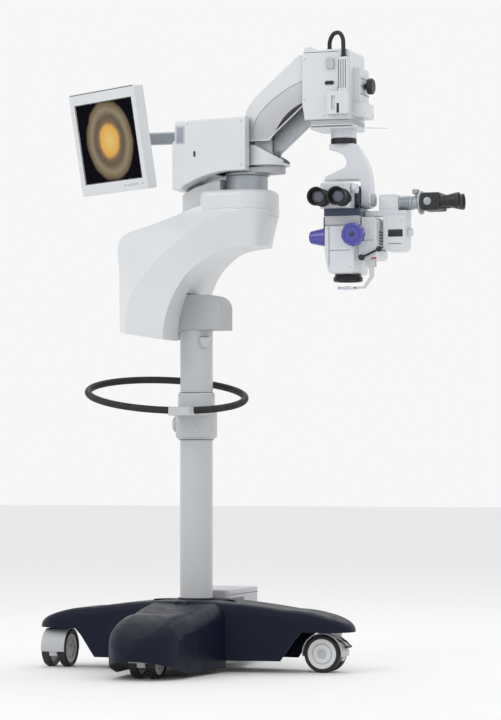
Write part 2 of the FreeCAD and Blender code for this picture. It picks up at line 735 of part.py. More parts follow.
def knuckle():
    """Elbow casting: shaft, foot disc and two cheeks that carry both lower pivots."""
    foot = rod(V(ELBOW_X, 0, KNUCKLE_LOW_Z), Z_AXIS, 58, 7)
    shaft = rod(V(ELBOW_X, 0, PLATE_LOW_Z + 1), Z_AXIS, ELBOW_SHAFT_R, KNUCKLE_LOW_Z - PLATE_LOW_Z - 1)
    top = UPPER_PIVOT_Z
    outline = path(
        side(ELBOW_X - 30, KNUCKLE_LOW_Z),
        side(ELBOW_X + 30, KNUCKLE_LOW_Z),
        side(ELBOW_X + 26, top),
        (side(ELBOW_X, top + 26), side(ELBOW_X - 26, top)),
    )
    cheeks = [side_prism(outline, pair) for pair in ((CHEEK_INNER, CHEEK_OUTER), (-CHEEK_OUTER, -CHEEK_INNER))]
    casting = fuse(foot, shaft, *cheeks)
    for level in (LOWER_PIVOT_Z, UPPER_PIVOT_Z):
        casting = casting.cut(cross_pin(pivot(level, False), PIVOT_PIN_R, 100))
    return casting


def knuckle_cover():
    """Moulded cover round the elbow's foot: round at the rear, cut away in front below the arm."""
    outline = path(
        side(ELBOW_X - ARM_HALF_WIDTH - 5, KNUCKLE_LOW_Z),
        side(ELBOW_X - ARM_HALF_WIDTH - 5, 1631),
        side(ELBOW_X - 20, 1622),
        side(ELBOW_X + ARM_HALF_WIDTH - 8, 1576),
        side(ELBOW_X + ARM_HALF_WIDTH - 8, KNUCKLE_LOW_Z),
    )
    form = side_prism(outline, (-ARM_HALF_WIDTH, ARM_HALF_WIDTH))
    outer = form.common(rod(V(ELBOW_X, 0, 1500), Z_AXIS, ARM_HALF_WIDTH, 300))
    hollow = rod(V(ELBOW_X, 0, KNUCKLE_LOW_Z + 7), Z_AXIS, ARM_HALF_WIDTH - ARM_WALL, 300)
    shell = outer.cut(hollow).cut(rod(V(ELBOW_X, 0, 1500), Z_AXIS, 58, 300))
    front = block((ELBOW_X + 20, 400), (-LINK_HALF_WIDTH - 6, LINK_HALF_WIDTH + 6), (KNUCKLE_LOW_Z + 7, 1700))
    return shell.cut(front)


def pivot_pins(upper):
    """The pins of one end of the arm, one above the other."""
    return [cross_pin(upper - Z_AXIS * drop, PIVOT_PIN_R, CHEEK_OUTER + 6) for drop in (LINK_SPACING, 0)]


def arm_outline():
    """Side outline of the arm's shell at rest."""
    rear_x = ELBOW_X - ARM_HALF_WIDTH
    slope = math.tan(ARM_ANGLE)
    top = along_arm(0, ARM_TOP)
    return path(
        side(rear_x, 1634),
        side(rear_x, top.z + (rear_x - top.x) * slope),
        along_arm(ARM_LENGTH - 12, ARM_TOP),
        along_arm(ARM_LENGTH + 26, 52),
        along_arm(ARM_LENGTH + 26, -ARM_LOW + 12),
        along_arm(ARM_LENGTH + 12, -ARM_LOW),
        along_arm(30, -ARM_LOW),
        side(along_arm(12, -ARM_LOW).x - 6, 1634),
    )


def arm_shell():
    """Moulded cover of the spring arm, round in plan at the elbow, open below and at the head end."""
    outer = side_prism(arm_outline(), (-ARM_HALF_WIDTH, ARM_HALF_WIDTH))
    front_part = block((ELBOW_X, 900), (-200, 200), (1500, 2100))
    rear_part = rod(V(ELBOW_X, 0, 1500), Z_AXIS, ARM_HALF_WIDTH, 600)
    outer = outer.common(fuse(front_part, rear_part))
    inner_half = ARM_HALF_WIDTH - ARM_WALL
    hollow_line = path(
        side(ELBOW_X - 200, 1400),
        along_arm(-200, ARM_TOP - ARM_WALL),
        along_arm(ARM_LENGTH + 80, ARM_TOP - ARM_WALL),
        along_arm(ARM_LENGTH + 80, -ARM_LOW - 85),
        side(ELBOW_X + 60, 1400),
    )
    hollow = side_prism(hollow_line, (-inner_half, inner_half))
    rear_room = rod(V(ELBOW_X, 0, 1500), Z_AXIS, inner_half, 600)
    hollow = hollow.common(fuse(front_part, rear_room))
    return outer.cut(hollow)


def arm_beam():
    """Upper bar of the parallelogram with the posts that hold the shell."""
    beam = link_bar(UPPER_PIVOT_Z, BEAM_HALF_HEIGHT, BEAM_HALF_WIDTH, PIVOT_PIN_R + PIN_PLAY)
    return fuse(beam, *shell_spacers())


def lower_link():
    """Lower bar of the parallelogram, with play at its carrier end."""
    return link_bar(LOWER_PIVOT_Z, LINK_HALF_HEIGHT, LINK_HALF_WIDTH, PIVOT_PIN_R + OPEN_PIVOT_PLAY)


def shell_spacers():
    """Four short posts that hold the shell to the beam."""
    posts = []
    for distance in (95, 175):
        centre = along_arm(distance, 0)
        for facing in (-1, 1):
            start = centre + Y_AXIS * facing * BEAM_HALF_WIDTH
            posts.append(rod(start, Y_AXIS * facing, 9, ARM_HALF_WIDTH - ARM_WALL - BEAM_HALF_WIDTH))
    return posts


def balance_spring():
    """Spring cylinder on the beam, on two saddles, with its rod and adjusting nut."""
    lengthwise = V(math.cos(ARM_ANGLE), 0, math.sin(ARM_ANGLE))
    centre_height = BEAM_HALF_HEIGHT + 26
    barrel = rod(along_arm(44, centre_height), lengthwise, 20, 140)
    stem = rod(along_arm(184, centre_height), lengthwise, 6, 34)
    nut = rod(along_arm(206, centre_height), lengthwise, 13, 10)
    saddles = []
    for distance in (60, 160):
        points = [
            along_arm(distance - 8, BEAM_HALF_HEIGHT), along_arm(distance + 8, BEAM_HALF_HEIGHT),
            along_arm(distance + 8, centre_height), along_arm(distance - 8, centre_height),
        ]
        saddles.append(side_prism(path(*points), (-20, 20)))
    return fuse(barrel, stem, nut, *saddles)


# Head carrier
def carrier_frame():
    """Carrier casting: foot plate, upright block and two ears with the upper pivots."""
    plate = block((400, CARRIER_FRONT_X - CARRIER_WALL), (-76, 76), (CARRIER_LOW_Z, CARRIER_LOW_Z + 12))
    upright = block((456, 482), (-CHEEK_OUTER, CHEEK_OUTER), (CARRIER_LOW_Z + 12, CARRIER_TOP_Z - 22))
    upper, lower = CARRIER_PIVOT, CARRIER_PIVOT - Z_AXIS * LINK_SPACING
    outline = path(
        side(upper.x, lower.z - 20),
        side(470, lower.z - 34),
        side(470, upper.z + 30),
        side(upper.x, upper.z + 20),
        (side(upper.x - 20, upper.z), side(upper.x - 20, upper.z - 1)),
        side(upper.x - 20, lower.z),
        (side(upper.x - 14, lower.z - 14), side(upper.x, lower.z - 20)),
    )
    ears = [side_prism(outline, pair) for pair in ((CHEEK_INNER, CHEEK_OUTER), (-CHEEK_OUTER, -CHEEK_INNER))]
    frame = fuse(plate, upright, *ears)
    for centre in (upper, lower):
        frame = frame.cut(cross_pin(centre, PIVOT_PIN_R, 100))
    return frame


def carrier_outline():
    """Side outline of the head carrier."""
    return path(
        side(CARRIER_REAR_X + 8, CARRIER_LOW_Z),
        side(CARRIER_REAR_X, 1742),
        side(CARRIER_REAR_X, CARRIER_TOP_Z - 21),
        side(CARRIER_REAR_X + 8, CARRIER_TOP_Z + 9),
        side(CARRIER_REAR_X + 30, CARRIER_TOP_Z + 11),
        (side(CARRIER_REAR_X + 44, CARRIER_TOP_Z + 2), side(CARRIER_REAR_X + 64, CARRIER_TOP_Z)),
        side(CARRIER_FRONT_X - 14, CARRIER_TOP_Z),
        (side(CARRIER_FRONT_X - 4, CARRIER_TOP_Z - 4), side(CARRIER_FRONT_X, CARRIER_TOP_Z - 14)),
        side(CARRIER_FRONT_X, CARRIER_LOW_Z),
    )


def carrier_housing():
    """Moulded housing of the carrier, with a slot in its roof and rear for the arm's end."""
    outer = side_prism(carrier_outline(), (-CARRIER_HALF_WIDTH, CARRIER_HALF_WIDTH))
    outer = round_edges(outer, 5, lambda e: abs(abs(e.CenterOfMass.y) - CARRIER_HALF_WIDTH) < 0.1)
    inner_half = CARRIER_HALF_WIDTH - CARRIER_WALL
    roof_z = CARRIER_TOP_Z - 2 * CARRIER_WALL
    hollow = block((300, CARRIER_FRONT_X - CARRIER_WALL), (-inner_half, inner_half), (1600, roof_z))
    slot = block((300, 448), (-inner_half, inner_half), (1700, 2000))
    return outer.cut(hollow).cut(slot)


def front_post():
    """Tall ribbed post at the carrier's front corner, with a stepped foot and head."""
    low_z, x, y = CARRIER_LOW_Z + 14, 508, -CARRIER_HALF_WIDTH
    core = block((x - 16, x + 16), (y - 14, y), (low_z, 1880))
    core = round_edges(core, 6, lambda e: runs_along(e, Z_AXIS) and e.CenterOfMass.y < y - 1)
    foot = block((x - 52, x + 20), (y - 18, y), (low_z, low_z + 70))
    foot = round_edges(foot, 5, lambda e: runs_along(e, Z_AXIS) and e.CenterOfMass.y < y - 1)
    foot = foot.cut(block((x - 36, x - 24), (y - 30, y - 12), (low_z + 14, low_z + 56)))
    return fuse(core, foot)


def accessory_box():
    """Narrow box on the carrier's front end, with a stepped lower part."""
    x = CARRIER_FRONT_X
    upper = block((x, x + 24), (-46, 46), (1745, 1850))
    lower = block((x, x + 38), (-52, 52), (CARRIER_LOW_Z + 8, 1744))
    box = fuse(upper, lower)
    return round_edges(box, 4, lambda e: runs_along(e, Z_AXIS) and e.CenterOfMass.x > x + 20)


def lock_knob():
    """Round clamping knob in front of the accessory box."""
    profile = [(0, 0), (9, 0), (9, 8), (23, 10), (25, 14), (25, 24), (21, 28), (0, 28)]
    return revolve(profile, V(CARRIER_FRONT_X + 24 + FACE_GAP, 0, 1797), X_AXIS)


def carrier_latch():
    """Small release button on the near side wall."""
    y = -CARRIER_HALF_WIDTH - FACE_GAP
    button = block((452, 476), (y - 7, y), (1846, 1878))
    return round_edges(button, 3, lambda e: runs_along(e, Y_AXIS))


LOOP_TUBE_R = 6.5
LOOP_ROUTE = [
    (456, -62, CARRIER_TOP_Z + FACE_GAP), (456, -62, 1935), (470, -66, 1957), (492, -74, 1958),
    (506, -84, 1938), (508, -87, 1908), (508, -87, 1880 + FACE_GAP),
]


def rounded_route(points):
    """Wire of straight runs joined by tangent arcs; prints the radius of each arc."""
    places = [V(*point) for point in points]
    edges = []
    here = places[0]
    for index in range(1, len(places) - 1):
        before, corner, after = places[index - 1], places[index], places[index + 1]
        arriving = (corner - before).normalize()
        leaving = (after - corner).normalize()
        turn = arriving.getAngle(leaving)
        shorter = min(corner.distanceToPoint(before), corner.distanceToPoint(after))
        cut = 0.45 * shorter
        radius = cut / math.tan(turn / 2)
        print("loop arc radius %.1f" % radius)
        start, end = corner - arriving * cut, corner + leaving * cut
        middle_way = (leaving - arriving).normalize()
        middle = corner + middle_way * (radius / math.cos(turn / 2) - radius)
        edges.append(Part.LineSegment(here, start).toShape())
        edges.append(Part.Arc(start, middle, end).toShape())
        here = end
    edges.append(Part.LineSegment(here, places[-1]).toShape())
    return Part.Wire(edges)


def cable_loop():
    """Loom that leaves the carrier's roof and comes down into the front post."""
    wire = rounded_route(LOOP_ROUTE)
    start = V(*LOOP_ROUTE[0])
    heading = V(*LOOP_ROUTE[1]) - start
    section = Part.Wire(Part.Circle(start, heading, LOOP_TUBE_R).toShape())
    return wire.makePipeShell([section], True, False)


# Cross slide and neck
def stage_plate(low_z, travel_axis):
    """Plate of the cross slide, with a rail groove along its travel."""
    plate = block((394, 530), (-72, 72), (low_z, low_z + STAGE_THICK))
    plate = round_edges(plate, 8, lambda e: runs_along(e, Z_AXIS))
    if travel_axis == "x":
        return plate.cut(block((394, 530), (-75, -60), (low_z + 4, low_z + 9)))
    return plate.cut(block((385, 400), (-50, 50), (low_z + 4, low_z + 9)))


STAGE_UPPER_Z = CARRIER_LOW_Z - FACE_GAP - STAGE_THICK
STAGE_LOWER_Z = STAGE_UPPER_Z - FACE_GAP - STAGE_THICK


def neck():
    """Round neck below the cross slide, flared at its top and bored for the head's shaft."""
    top = STAGE_LOWER_Z
    profile = [
        (NECK_SHAFT_R + PIN_PLAY, NECK_LOW_Z), (NECK_R - 2, NECK_LOW_Z), (NECK_R, NECK_LOW_Z + 2),
        (NECK_R, top - 6), (NECK_R + 4, top), (NECK_SHAFT_R + PIN_PLAY, top),
    ]
    return revolve(profile, V(NECK_X, 0, 0), Z_AXIS)


def head_ring():
    """Dark turning ring below the neck, with the head's shaft."""
    low = NECK_LOW_Z - FACE_GAP - RING_HEIGHT
    profile = [
        (0, low), (NECK_R - 1, low), (NECK_R, low + 1), (NECK_R, low + RING_HEIGHT - 1),
        (NECK_R - 1, low + RING_HEIGHT), (NECK_SHAFT_R, low + RING_HEIGHT), (NECK_SHAFT_R, STAGE_LOWER_Z - 2),
        (0, STAGE_LOWER_Z - 2),
    ]
    return revolve(profile, V(NECK_X, 0, 0), Z_AXIS)


def yoke():
    """Curved yoke: hangs from the ring, sweeps round to the right and ends in the tilt arm."""
    top = NECK_LOW_Z - FACE_GAP - RING_HEIGHT
    outline = path(
        side(NECK_X - NECK_R, top),
        side(NECK_X - NECK_R, 1604),
        side(470, 1597),
        side(490, 1584),
        side(499, 1566),
        side(494, 1552),
        side(482, 1544),
        side(430, 1522),
        side(424, 1508),
        side(YOKE_INNER_X - 10, 1508),
        (side(YOKE_INNER_X - 3, 1505), side(YOKE_INNER_X, 1498)),
        side(YOKE_INNER_X, TILT_Z - 12),
        (side((YOKE_INNER_X + YOKE_OUTER_X) / 2, TILT_Z - 28), side(YOKE_OUTER_X, TILT_Z - 12)),
        side(YOKE_OUTER_X, 1490),
        (side(560, 1560), side(NECK_X + NECK_R, top)),
    )
    plate = side_prism(outline, (-YOKE_HALF_WIDTH, YOKE_HALF_WIDTH))
    plate = round_edges(plate, 5, lambda e: abs(abs(e.CenterOfMass.y) - YOKE_HALF_WIDTH) < 0.1 and e.CenterOfMass.z < top - 1)
    lower = block((500, 600), (-60, 60), (TILT_Z - 60, TILT_Z))
    corners = lower.cut(rod(V(500, 0, TILT_Z), X_AXIS, YOKE_HALF_WIDTH + 1, 100))
    return plate.cut(corners).cut(rod(V(500, 0, TILT_Z), X_AXIS, TILT_PIN_R + PIN_PLAY, 100))


# Microscope
def optics_carrier():
    """Tilting carrier of the optics: a drum with the tilt pin, and the dark prism block below it."""
    left = 446
    drum = rod(V(left, 0, TILT_Z), X_AXIS, TILT_DRUM_R, YOKE_INNER_X - FACE_GAP - left)
    drum = drum.cut(block((left, YOKE_INNER_X), (-100, 100), (1300, 1398)))
    pin = rod(V(YOKE_INNER_X - 2, 0, TILT_Z), X_AXIS, TILT_PIN_R, YOKE_OUTER_X - YOKE_INNER_X + 2)
    prism = block((left - 2, 560), (-88, 56), (1394, 1416))
    prism = round_edges(prism, 6, lambda e: runs_along(e, Z_AXIS))
    return fuse(drum, pin, prism)


def binocular_housing():
    """Binocular tube housing with rounded front edges and two eyepiece sockets."""
    outline = path(
        V(440, -52, 0), V(438, -96, 0), (V(444, -112, 0), V(460, -117, 0)), V(512, -117, 0),
        (V(526, -112, 0), V(532, -96, 0)), V(532, -52, 0),
    )
    form = plan_prism(outline, (1416, 1496))
    form = round_edges(form, 8, lambda e: e.CenterOfMass.z > 1495.9 and e.CenterOfMass.y < -60)
    for facing in (-1, 1):
        x = OPTICS_X - 6 + facing * EYE_SPACING / 2
        form = form.cut(rod(V(x, -130, TILT_Z), Y_AXIS, 20 + PIN_PLAY, 40))
    return form


def binocular_bridge():
    """Neck between the binocular housing and the carrier's drum."""
    form = block((448, 524), (-52, -30), (1416, 1478))
    drum = rod(V(440, 0, TILT_Z), X_AXIS, TILT_DRUM_R, 100)
    return form.cut(drum)


def binocular_knob():
    """Dark knob at the housing's right shoulder, which sets the eye spacing."""
    profile = [(0, 0), (7, 0), (7, 3), (14, 4), (15, 6), (15, 18), (13, 20), (0, 20)]
    return revolve(profile, V(532, -84, 1476), X_AXIS)


def eyepiece(facing):
    """Eyepiece: barrel in its socket, knurled ring and flared rubber cup with a lens well."""
    x = OPTICS_X - 6 + facing * EYE_SPACING / 2
    length = abs(EYE_TIP_Y) - 92
    profile = [
        (0, 0), (20, 0), (20, 28), (25, 29), (26, 32), (26, 48), (23, 50), (24, 60), (28, length - 10),
        (29, length), (25, length), (20, length - 22), (0, length - 22),
    ]
    return revolve(profile, V(x, -92, TILT_Z), Y_AXIS * -1)


def body_outline():
    """Front outline of the microscope's body."""
    return path(
        side(446, 1366),
        side(446, 1290),
        (side(449, 1262), side(458, BODY_LOW_Z + 6)),
        (side(462.5, BODY_LOW_Z + 2.2), side(470, BODY_LOW_Z)),
        side(530, BODY_LOW_Z),
        (side(537, BODY_LOW_Z + 3), side(541, BODY_LOW_Z + 10)),
        side(541, 1366),
    )


def microscope_body():
    """Main body with the zoom optics, rounded at its front, on a stepped neck."""
    form = side_prism(body_outline(), (-88, 58))
    form = round_edges(form, 7, lambda e: e.CenterOfMass.y < -87.9)
    neck_block = block((450, 556), (-80, 50), (1366, 1394))
    return fuse(form, neck_block)


def side_module():
    """Illumination module on the body's right side."""
    form = block((541, 606), (-70, 56), (1262, 1390))
    form = round_edges(form, 14, lambda e: runs_along(e, Y_AXIS) and e.CenterOfMass.x > 600)
    form = form.cut(block((540, 560), (-81, 51), (1365, 1400)))
    return round_edges(form, 3, lambda e: e.CenterOfMass.y < -69.9 and e.CenterOfMass.x > 562)


def left_handle():
    """Blue flared handle on the body's left side."""
    profile = [(0, 0), (12, 0), (12, 5), (27, 6), (29, 10), (28, 20), (23, 44), (20, 58), (16, 62), (0, 62)]
    return revolve(profile, V(446 - FACE_GAP, -30, 1334), V(-1, 0, 0))


def front_knob():
    """Blue round knob on the body's front, with a scalloped side."""
    profile = [(0, 0), (16, 0), (16, 6), (33, 7), (35, 11), (35, 32), (31, 38), (0, 38)]
    knob = revolve(profile, V(545, -88 - FACE_GAP, 1334), Y_AXIS * -1)
    flutes = []
    for index in range(12):
        angle = 2 * math.pi / 12 * index
        place = V(545 + 38 * math.cos(angle), -88 - 12, 1334 + 38 * math.sin(angle))
        flutes.append(rod(place, Y_AXIS * -1, 5, 40))
    return knob.cut(fuse(*flutes))


def knob_boss():
    """Round boss on the body behind the front knob."""
    boss = rod(V(545, -88, 1334), Y_AXIS, 26, 18)
    body = side_prism(body_outline(), (-88, 58))
    return boss.cut(body).cut(block((541, 610), (-70, 60), (1200, 1400)))


def objective():
    """Objective mount with a ribbed ring and a recess for the lens."""
    low = OBJECTIVE_LOW_Z
    profile = [
        (36, low), (OBJECTIVE_R - 2, low), (OBJECTIVE_R, low + 2), (OBJECTIVE_R, low + 14),
        (OBJECTIVE_R - 4, low + 16), (OBJECTIVE_R - 4, BODY_LOW_Z), (32, BODY_LOW_Z), (32, low + 10), (36, low + 10),
    ]
    return revolve(profile, V(OPTICS_X + 10, -15, 0), Z_AXIS)


def objective_lens():
    """Front lens, seated in the objective's recess."""
    low = OBJECTIVE_LOW_Z
    rim = 36 - PIN_PLAY
    profile = [(0, low + 5), (rim, low + 4), (rim, low + 10), (0, low + 10)]
    return revolve(profile, V(OPTICS_X + 10, -15, 0), Z_AXIS)


LENS_HINGE = (578, -30, 1250)


def lens_arm():
    """Folding arm of the wide-field lens: hinge eye, curved strip below the objective and ring."""
    x, y, z = LENS_HINGE
    strip = side_prism(
        path(
            side(x - 9, z), (side(x, z + 9), side(x + 9, z)), side(x + 8, z - 40), side(x - 20, z - 76),
            side(x - 46, z - 76), side(x - 46, z - 70), side(x - 24, z - 70), side(x - 2, z - 40),
        ),
        (y - 7, y + 7),
    )
    ring = tube(V(OPTICS_X + 10, y + 15, z - 76), Z_AXIS, 33, 26, 6)
    return fuse(strip, ring).cut(cross_pin(V(x, y, z), 4 + PIN_PLAY, 40))


def lens_bracket():
    """Fixed hinge bracket on the side module, with the lens arm's pin."""
    x, y, z = LENS_HINGE
    plate = block((x - 14, x + 14), (y - 14, y - 7.3), (z - 10, 1262))
    other = block((x - 14, x + 14), (y + 7.3, y + 14), (z - 10, 1262))
    pin = rod(V(x, y - 14, z), Y_AXIS, 4, 28)
    return fuse(plate, pin, other)


def wide_lens():
    """Wide-field lens in the arm's ring."""
    x, y, z = LENS_HINGE
    profile = [(0, -3), (26, 0), (26, 6), (0, 10)]
    return revolve(profile, V(OPTICS_X + 10, y + 15, z - 76), Z_AXIS)


def focus_lever():
    """Black lever with a ball end, on the side module's foot."""
    start, end = V(560, -81, 1264), V(618, -81, 1290)
    bar = rod(start, end - start, 3.5, start.distanceToPoint(end))
    ball = Part.makeSphere(9, end)
    hub = rod(V(562, -84, 1266), Y_AXIS, 9, 14 - FACE_GAP)
    return fuse(bar, ball, hub)


# Assistant's microscope
def assistant_bridge():
    """Plate from the prism block to the assistant's side, with the block that stands on it."""
    shelf = block((560, 690), (-28, 28), (1395, 1411))
    tower = block((602, 663), (-26, 26), (1411, 1460))
    tower = round_edges(tower, 5, lambda e: runs_along(e, Y_AXIS) and e.CenterOfMass.z > 1459)
    return fuse(shelf, tower).cut(rod(V(600, 0, 1434), X_AXIS, 12 + PIN_PLAY, 80))


def assistant_tube():
    """Turning tube with a wide flange, carried by its shaft in the block."""
    profile = [
        (0, -50), (12, -50), (12, 0.3), (21.5, 0.3), (21.5, 40), (19, 42), (19, 56), (21.5, 58), (21.5, 63),
        (36, 63), (36, 69), (24, 69), (24, 76), (0, 76),
    ]
    return revolve(profile, V(663, 0, 1434), X_AXIS)


def assistant_head():
    """Small binocular head of the assistant: prism block with two sockets."""
    head = block((739, 798), (-44, 44), (1408, 1462))
    head = round_edges(head, 7, lambda e: runs_along(e, Y_AXIS) or runs_along(e, X_AXIS))
    for facing in (-1, 1):
        head = head.cut(rod(V(780, facing * 27, 1436), X_AXIS, 14 + PIN_PLAY, 40))
    return head


def assistant_eyepiece(facing):
    """Assistant's eyepiece with a flared cup."""
    profile = [(0, 0), (14, 0), (14, 18), (19, 19), (19, 34), (17, 36), (24, 66), (25, 75), (21, 75), (15, 60), (0, 60)]
    return revolve(profile, V(780, facing * 27, 1436), X_AXIS)


def assistant_knob():
    """Small black knob on the assistant's tube flange."""
    profile = [(0, 0), (4, 0), (4, 8), (10, 10), (11, 12), (11, 22), (9, 24), (0, 24)]
    return revolve(profile, V(712, 0, 1434 + 18), Z_AXIS)


def camera_housing():
    """Video camera box below the bridge plate, with a rounded lower edge and a stepped lid."""
    form = block((617, 688), (-36, 36), (1286, 1395))
    form = round_edges(form, 18, lambda e: runs_along(e, Y_AXIS) and e.CenterOfMass.z < 1290)
    return round_edges(form, 4, lambda e: abs(e.CenterOfMass.y) > 35.9 and e.CenterOfMass.z < 1390)


def camera_plug():
    """Round cable socket cap on the camera's outer end."""
    profile = [(0, 0), (15, 0), (15, 5), (12, 7), (12, 14), (0, 14)]
    return revolve(profile, V(688, 0, 1345), X_AXIS)


# Monitor
def monitor_place(shape, tilted=True):
    """Turn a piece built facing -Y, with its front at Y = 0, to the monitor's place."""
    placed = shape.copy()
    if tilted:
        placed.rotate(V(0, MONITOR_PIN_Y, 0), X_AXIS, MONITOR_TILT)
    placed.translate(V(0, -MONITOR_POST_Y, 0))
    placed.rotate(V(0, 0, 0), Z_AXIS, MONITOR_YAW)
    placed.translate(V(MONITOR_POST_X, 0, MONITOR_Z))
    return placed


def rounded_panel(width, height, y_range, radius):
    """Upright plate with round corners, centred on the origin."""
    plate = block((-width / 2, width / 2), y_range, (-height / 2, height / 2))
    return round_edges(plate, radius, lambda e: runs_along(e, Y_AXIS))


def monitor_back():
    """Rear shell of the monitor with its bulge."""
    shell = rounded_panel(MONITOR_WIDTH, MONITOR_HEIGHT, (10, 34), 10)
    bulge = rounded_panel(MONITOR_WIDTH - 90, MONITOR_HEIGHT - 110, (34, MONITOR_THICK), 14)
    bulge = round_edges(bulge, 5, lambda e: e.CenterOfMass.y > MONITOR_THICK - 0.1)
    return monitor_place(fuse(shell, bulge))


def monitor_bezel():
    """Front frame of the monitor, open over the screen."""
    frame = rounded_panel(MONITOR_WIDTH, MONITOR_HEIGHT, (0, 10), 10)
    opening = block((-SCREEN_WIDTH / 2, SCREEN_WIDTH / 2), (-5, 15), (-SCREEN_HEIGHT / 2, SCREEN_HEIGHT / 2))
    return monitor_place(frame.cut(opening))


def monitor_screen():
    """Display panel behind the frame's opening."""
    panel = block((-SCREEN_WIDTH / 2, SCREEN_WIDTH / 2), (3, 10), (-SCREEN_HEIGHT / 2, SCREEN_HEIGHT / 2))
    return monitor_place(panel)


def monitor_ears():
    """Foot plate and two ears on the monitor's back, with the tilt pin."""
    foot = block((-32, 32), (MONITOR_THICK, MONITOR_THICK + 4), (-22, 22))
    pieces = []
    for x in (-26, 18):
        ear = block((x, x + 8), (MONITOR_THICK, MONITOR_PIN_Y + 10), (-11, 11))
        pieces.append(round_edges(ear, 8, lambda e: runs_along(e, X_AXIS) and e.CenterOfMass.y > MONITOR_PIN_Y))
    pin = rod(V(-26, MONITOR_PIN_Y, 0), X_AXIS, 5, 52)
    return monitor_place(fuse(foot, pin, *pieces))


def monitor_fork():
    """Swivel fork that embraces the bar's eye, with its post and the tilt block."""
    eye_half = BAR_HEIGHT / 2
    arms = []
    for low in (-eye_half - FACE_GAP - 6, eye_half + FACE_GAP):
        arm = block((-16, 16), (MONITOR_POST_Y - 26, MONITOR_POST_Y), (low, low + 6))
        arms.append(fuse(arm, rod(V(0, MONITOR_POST_Y, low), Z_AXIS, 16, 6)))
    web_y = MONITOR_POST_Y - 26
    web = block((-16, 16), (web_y, web_y + 6), (-eye_half - 6, eye_half + 6))
    block_half = 18 - FACE_GAP
    tilt_block = block((-block_half, block_half), (MONITOR_PIN_Y, web_y), (-9, 9))
    tilt_block = tilt_block.fuse(rod(V(-block_half, MONITOR_PIN_Y, 0), X_AXIS, 9, 2 * block_half))
    post = rod(V(0, MONITOR_POST_Y, -eye_half - 6), Z_AXIS, 8, BAR_HEIGHT + 12)
    fork = fuse(web, post, tilt_block, *arms)
    fork = fork.cut(rod(V(-40, MONITOR_PIN_Y, 0), X_AXIS, 5 + PIN_PLAY, 80))
    return monitor_place(fork, tilted=False)


def main():
    """Build every node and write it."""
    os.makedirs("parts", exist_ok=True)
    nodes = {
        "base_chassis": base_chassis(),
        "base_shell": base_shell(),
        "base_connector_box": fuse(base_connector_box(), power_inlet()),
        "mains_switch": mains_switch(),
        "column_tube": fuse(column_tube(), column_cup()),
        "column_sleeve": fuse(column_sleeve(), ring_mount(), sleeve_clamp()).cut(push_ring()),
        "push_ring": push_ring(),
        "column_head": column_head(),
        "housing_near": housing_shell(-1),
        "housing_far": housing_shell(1),
        "housing_plinth": fuse(housing_plinth(), swivel_pedestal()),
        "bearing_housing": fuse(bearing_housing(), swivel_washer()),
        "swivel_plate": fuse(swivel_plate(), elbow_washer()),
        "swivel_cover_near": swivel_cover(-1),
        "swivel_cover_far": swivel_cover(1),
        "monitor_bar": monitor_bar(),
        "monitor_fork": monitor_fork(),
        "monitor_back": fuse(monitor_back(), monitor_ears()),
        "monitor_bezel": monitor_bezel(),
        "monitor_screen": monitor_screen(),
        "knuckle": fuse(knuckle(), *pivot_pins(pivot(UPPER_PIVOT_Z, False))),
        "knuckle_cover": knuckle_cover(),
        "arm_beam": arm_beam(),
        "arm_shell": arm_shell(),
        "balance_spring": balance_spring(),
        "lower_link": lower_link(),
    }
    carried = {
        "carrier_frame": fuse(carrier_frame(), *pivot_pins(CARRIER_PIVOT)),
        "carrier_housing": fuse(carrier_housing(), front_post(), accessory_box()),
        "lock_knob": lock_knob(),
        "carrier_latch": carrier_latch(),
        "cable_loop": cable_loop(),
        "stage_upper": stage_plate(STAGE_UPPER_Z, "y"),
        "stage_lower": fuse(stage_plate(STAGE_LOWER_Z, "x"), neck()),
        "head_ring": head_ring(),
        "yoke": yoke(),
        "optics_carrier": optics_carrier(),
        "binocular_housing": fuse(binocular_housing(), binocular_bridge(), binocular_knob()),
        "eyepiece_left": eyepiece(-1),
        "eyepiece_right": eyepiece(1),
        "microscope_body": fuse(microscope_body(), knob_boss()),
        "side_module": fuse(side_module(), lens_bracket()),
        "left_handle": left_handle(),
        "front_knob": front_knob(),
        "objective": objective(),
        "objective_lens": objective_lens(),
        "lens_arm": lens_arm(),
        "wide_lens": wide_lens(),
        "focus_lever": focus_lever(),
        "assistant_bridge": assistant_bridge(),
        "assistant_tube": fuse(assistant_tube(), assistant_knob()),
        "assistant_head": fuse(assistant_head(), assistant_eyepiece(-1), assistant_eyepiece(1)),
        "camera_housing": fuse(camera_housing(), camera_plug()),
    }
    to_arm_end = pivot(UPPER_PIVOT_Z, True) - CARRIER_PIVOT
    for name, shape in carried.items():
        nodes[name] = shape.translated(to_arm_end)
    casters = (("right", 0, 0), ("rear", 90, 0), ("left", 180, -90), ("front", 270, 0))
    for name, turn, heading in casters:
        nodes["caster_fork_" + name] = place_caster(caster_fork(), turn, heading)
        nodes["caster_wheels_" + name] = place_caster(caster_wheels(), turn, heading)
    for name, shape in nodes.items():
        save(name, shape)
        print("%-22s solids %d volume %.0f valid %s" % (name, len(shape.Solids), shape.Volume, shape.isValid()))


main()
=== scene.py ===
"""Looks of the floor-standing surgical microscope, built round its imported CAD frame.

Row frame in metres: +Z up, the floor at Z = 0, +X towards the spring arm, -Y towards the surgeon.
Sizes in the classes are millimetres in the stand's own frame, whose origin is the column's axis on
the floor; ``Stand.point`` turns them into the row frame.
"""

from __future__ import annotations

import json
import logging
import math
from dataclasses import dataclass, field
from enum import Enum
from typing import Iterable, Sequence

import bpy
from mathutils import Matrix, Vector

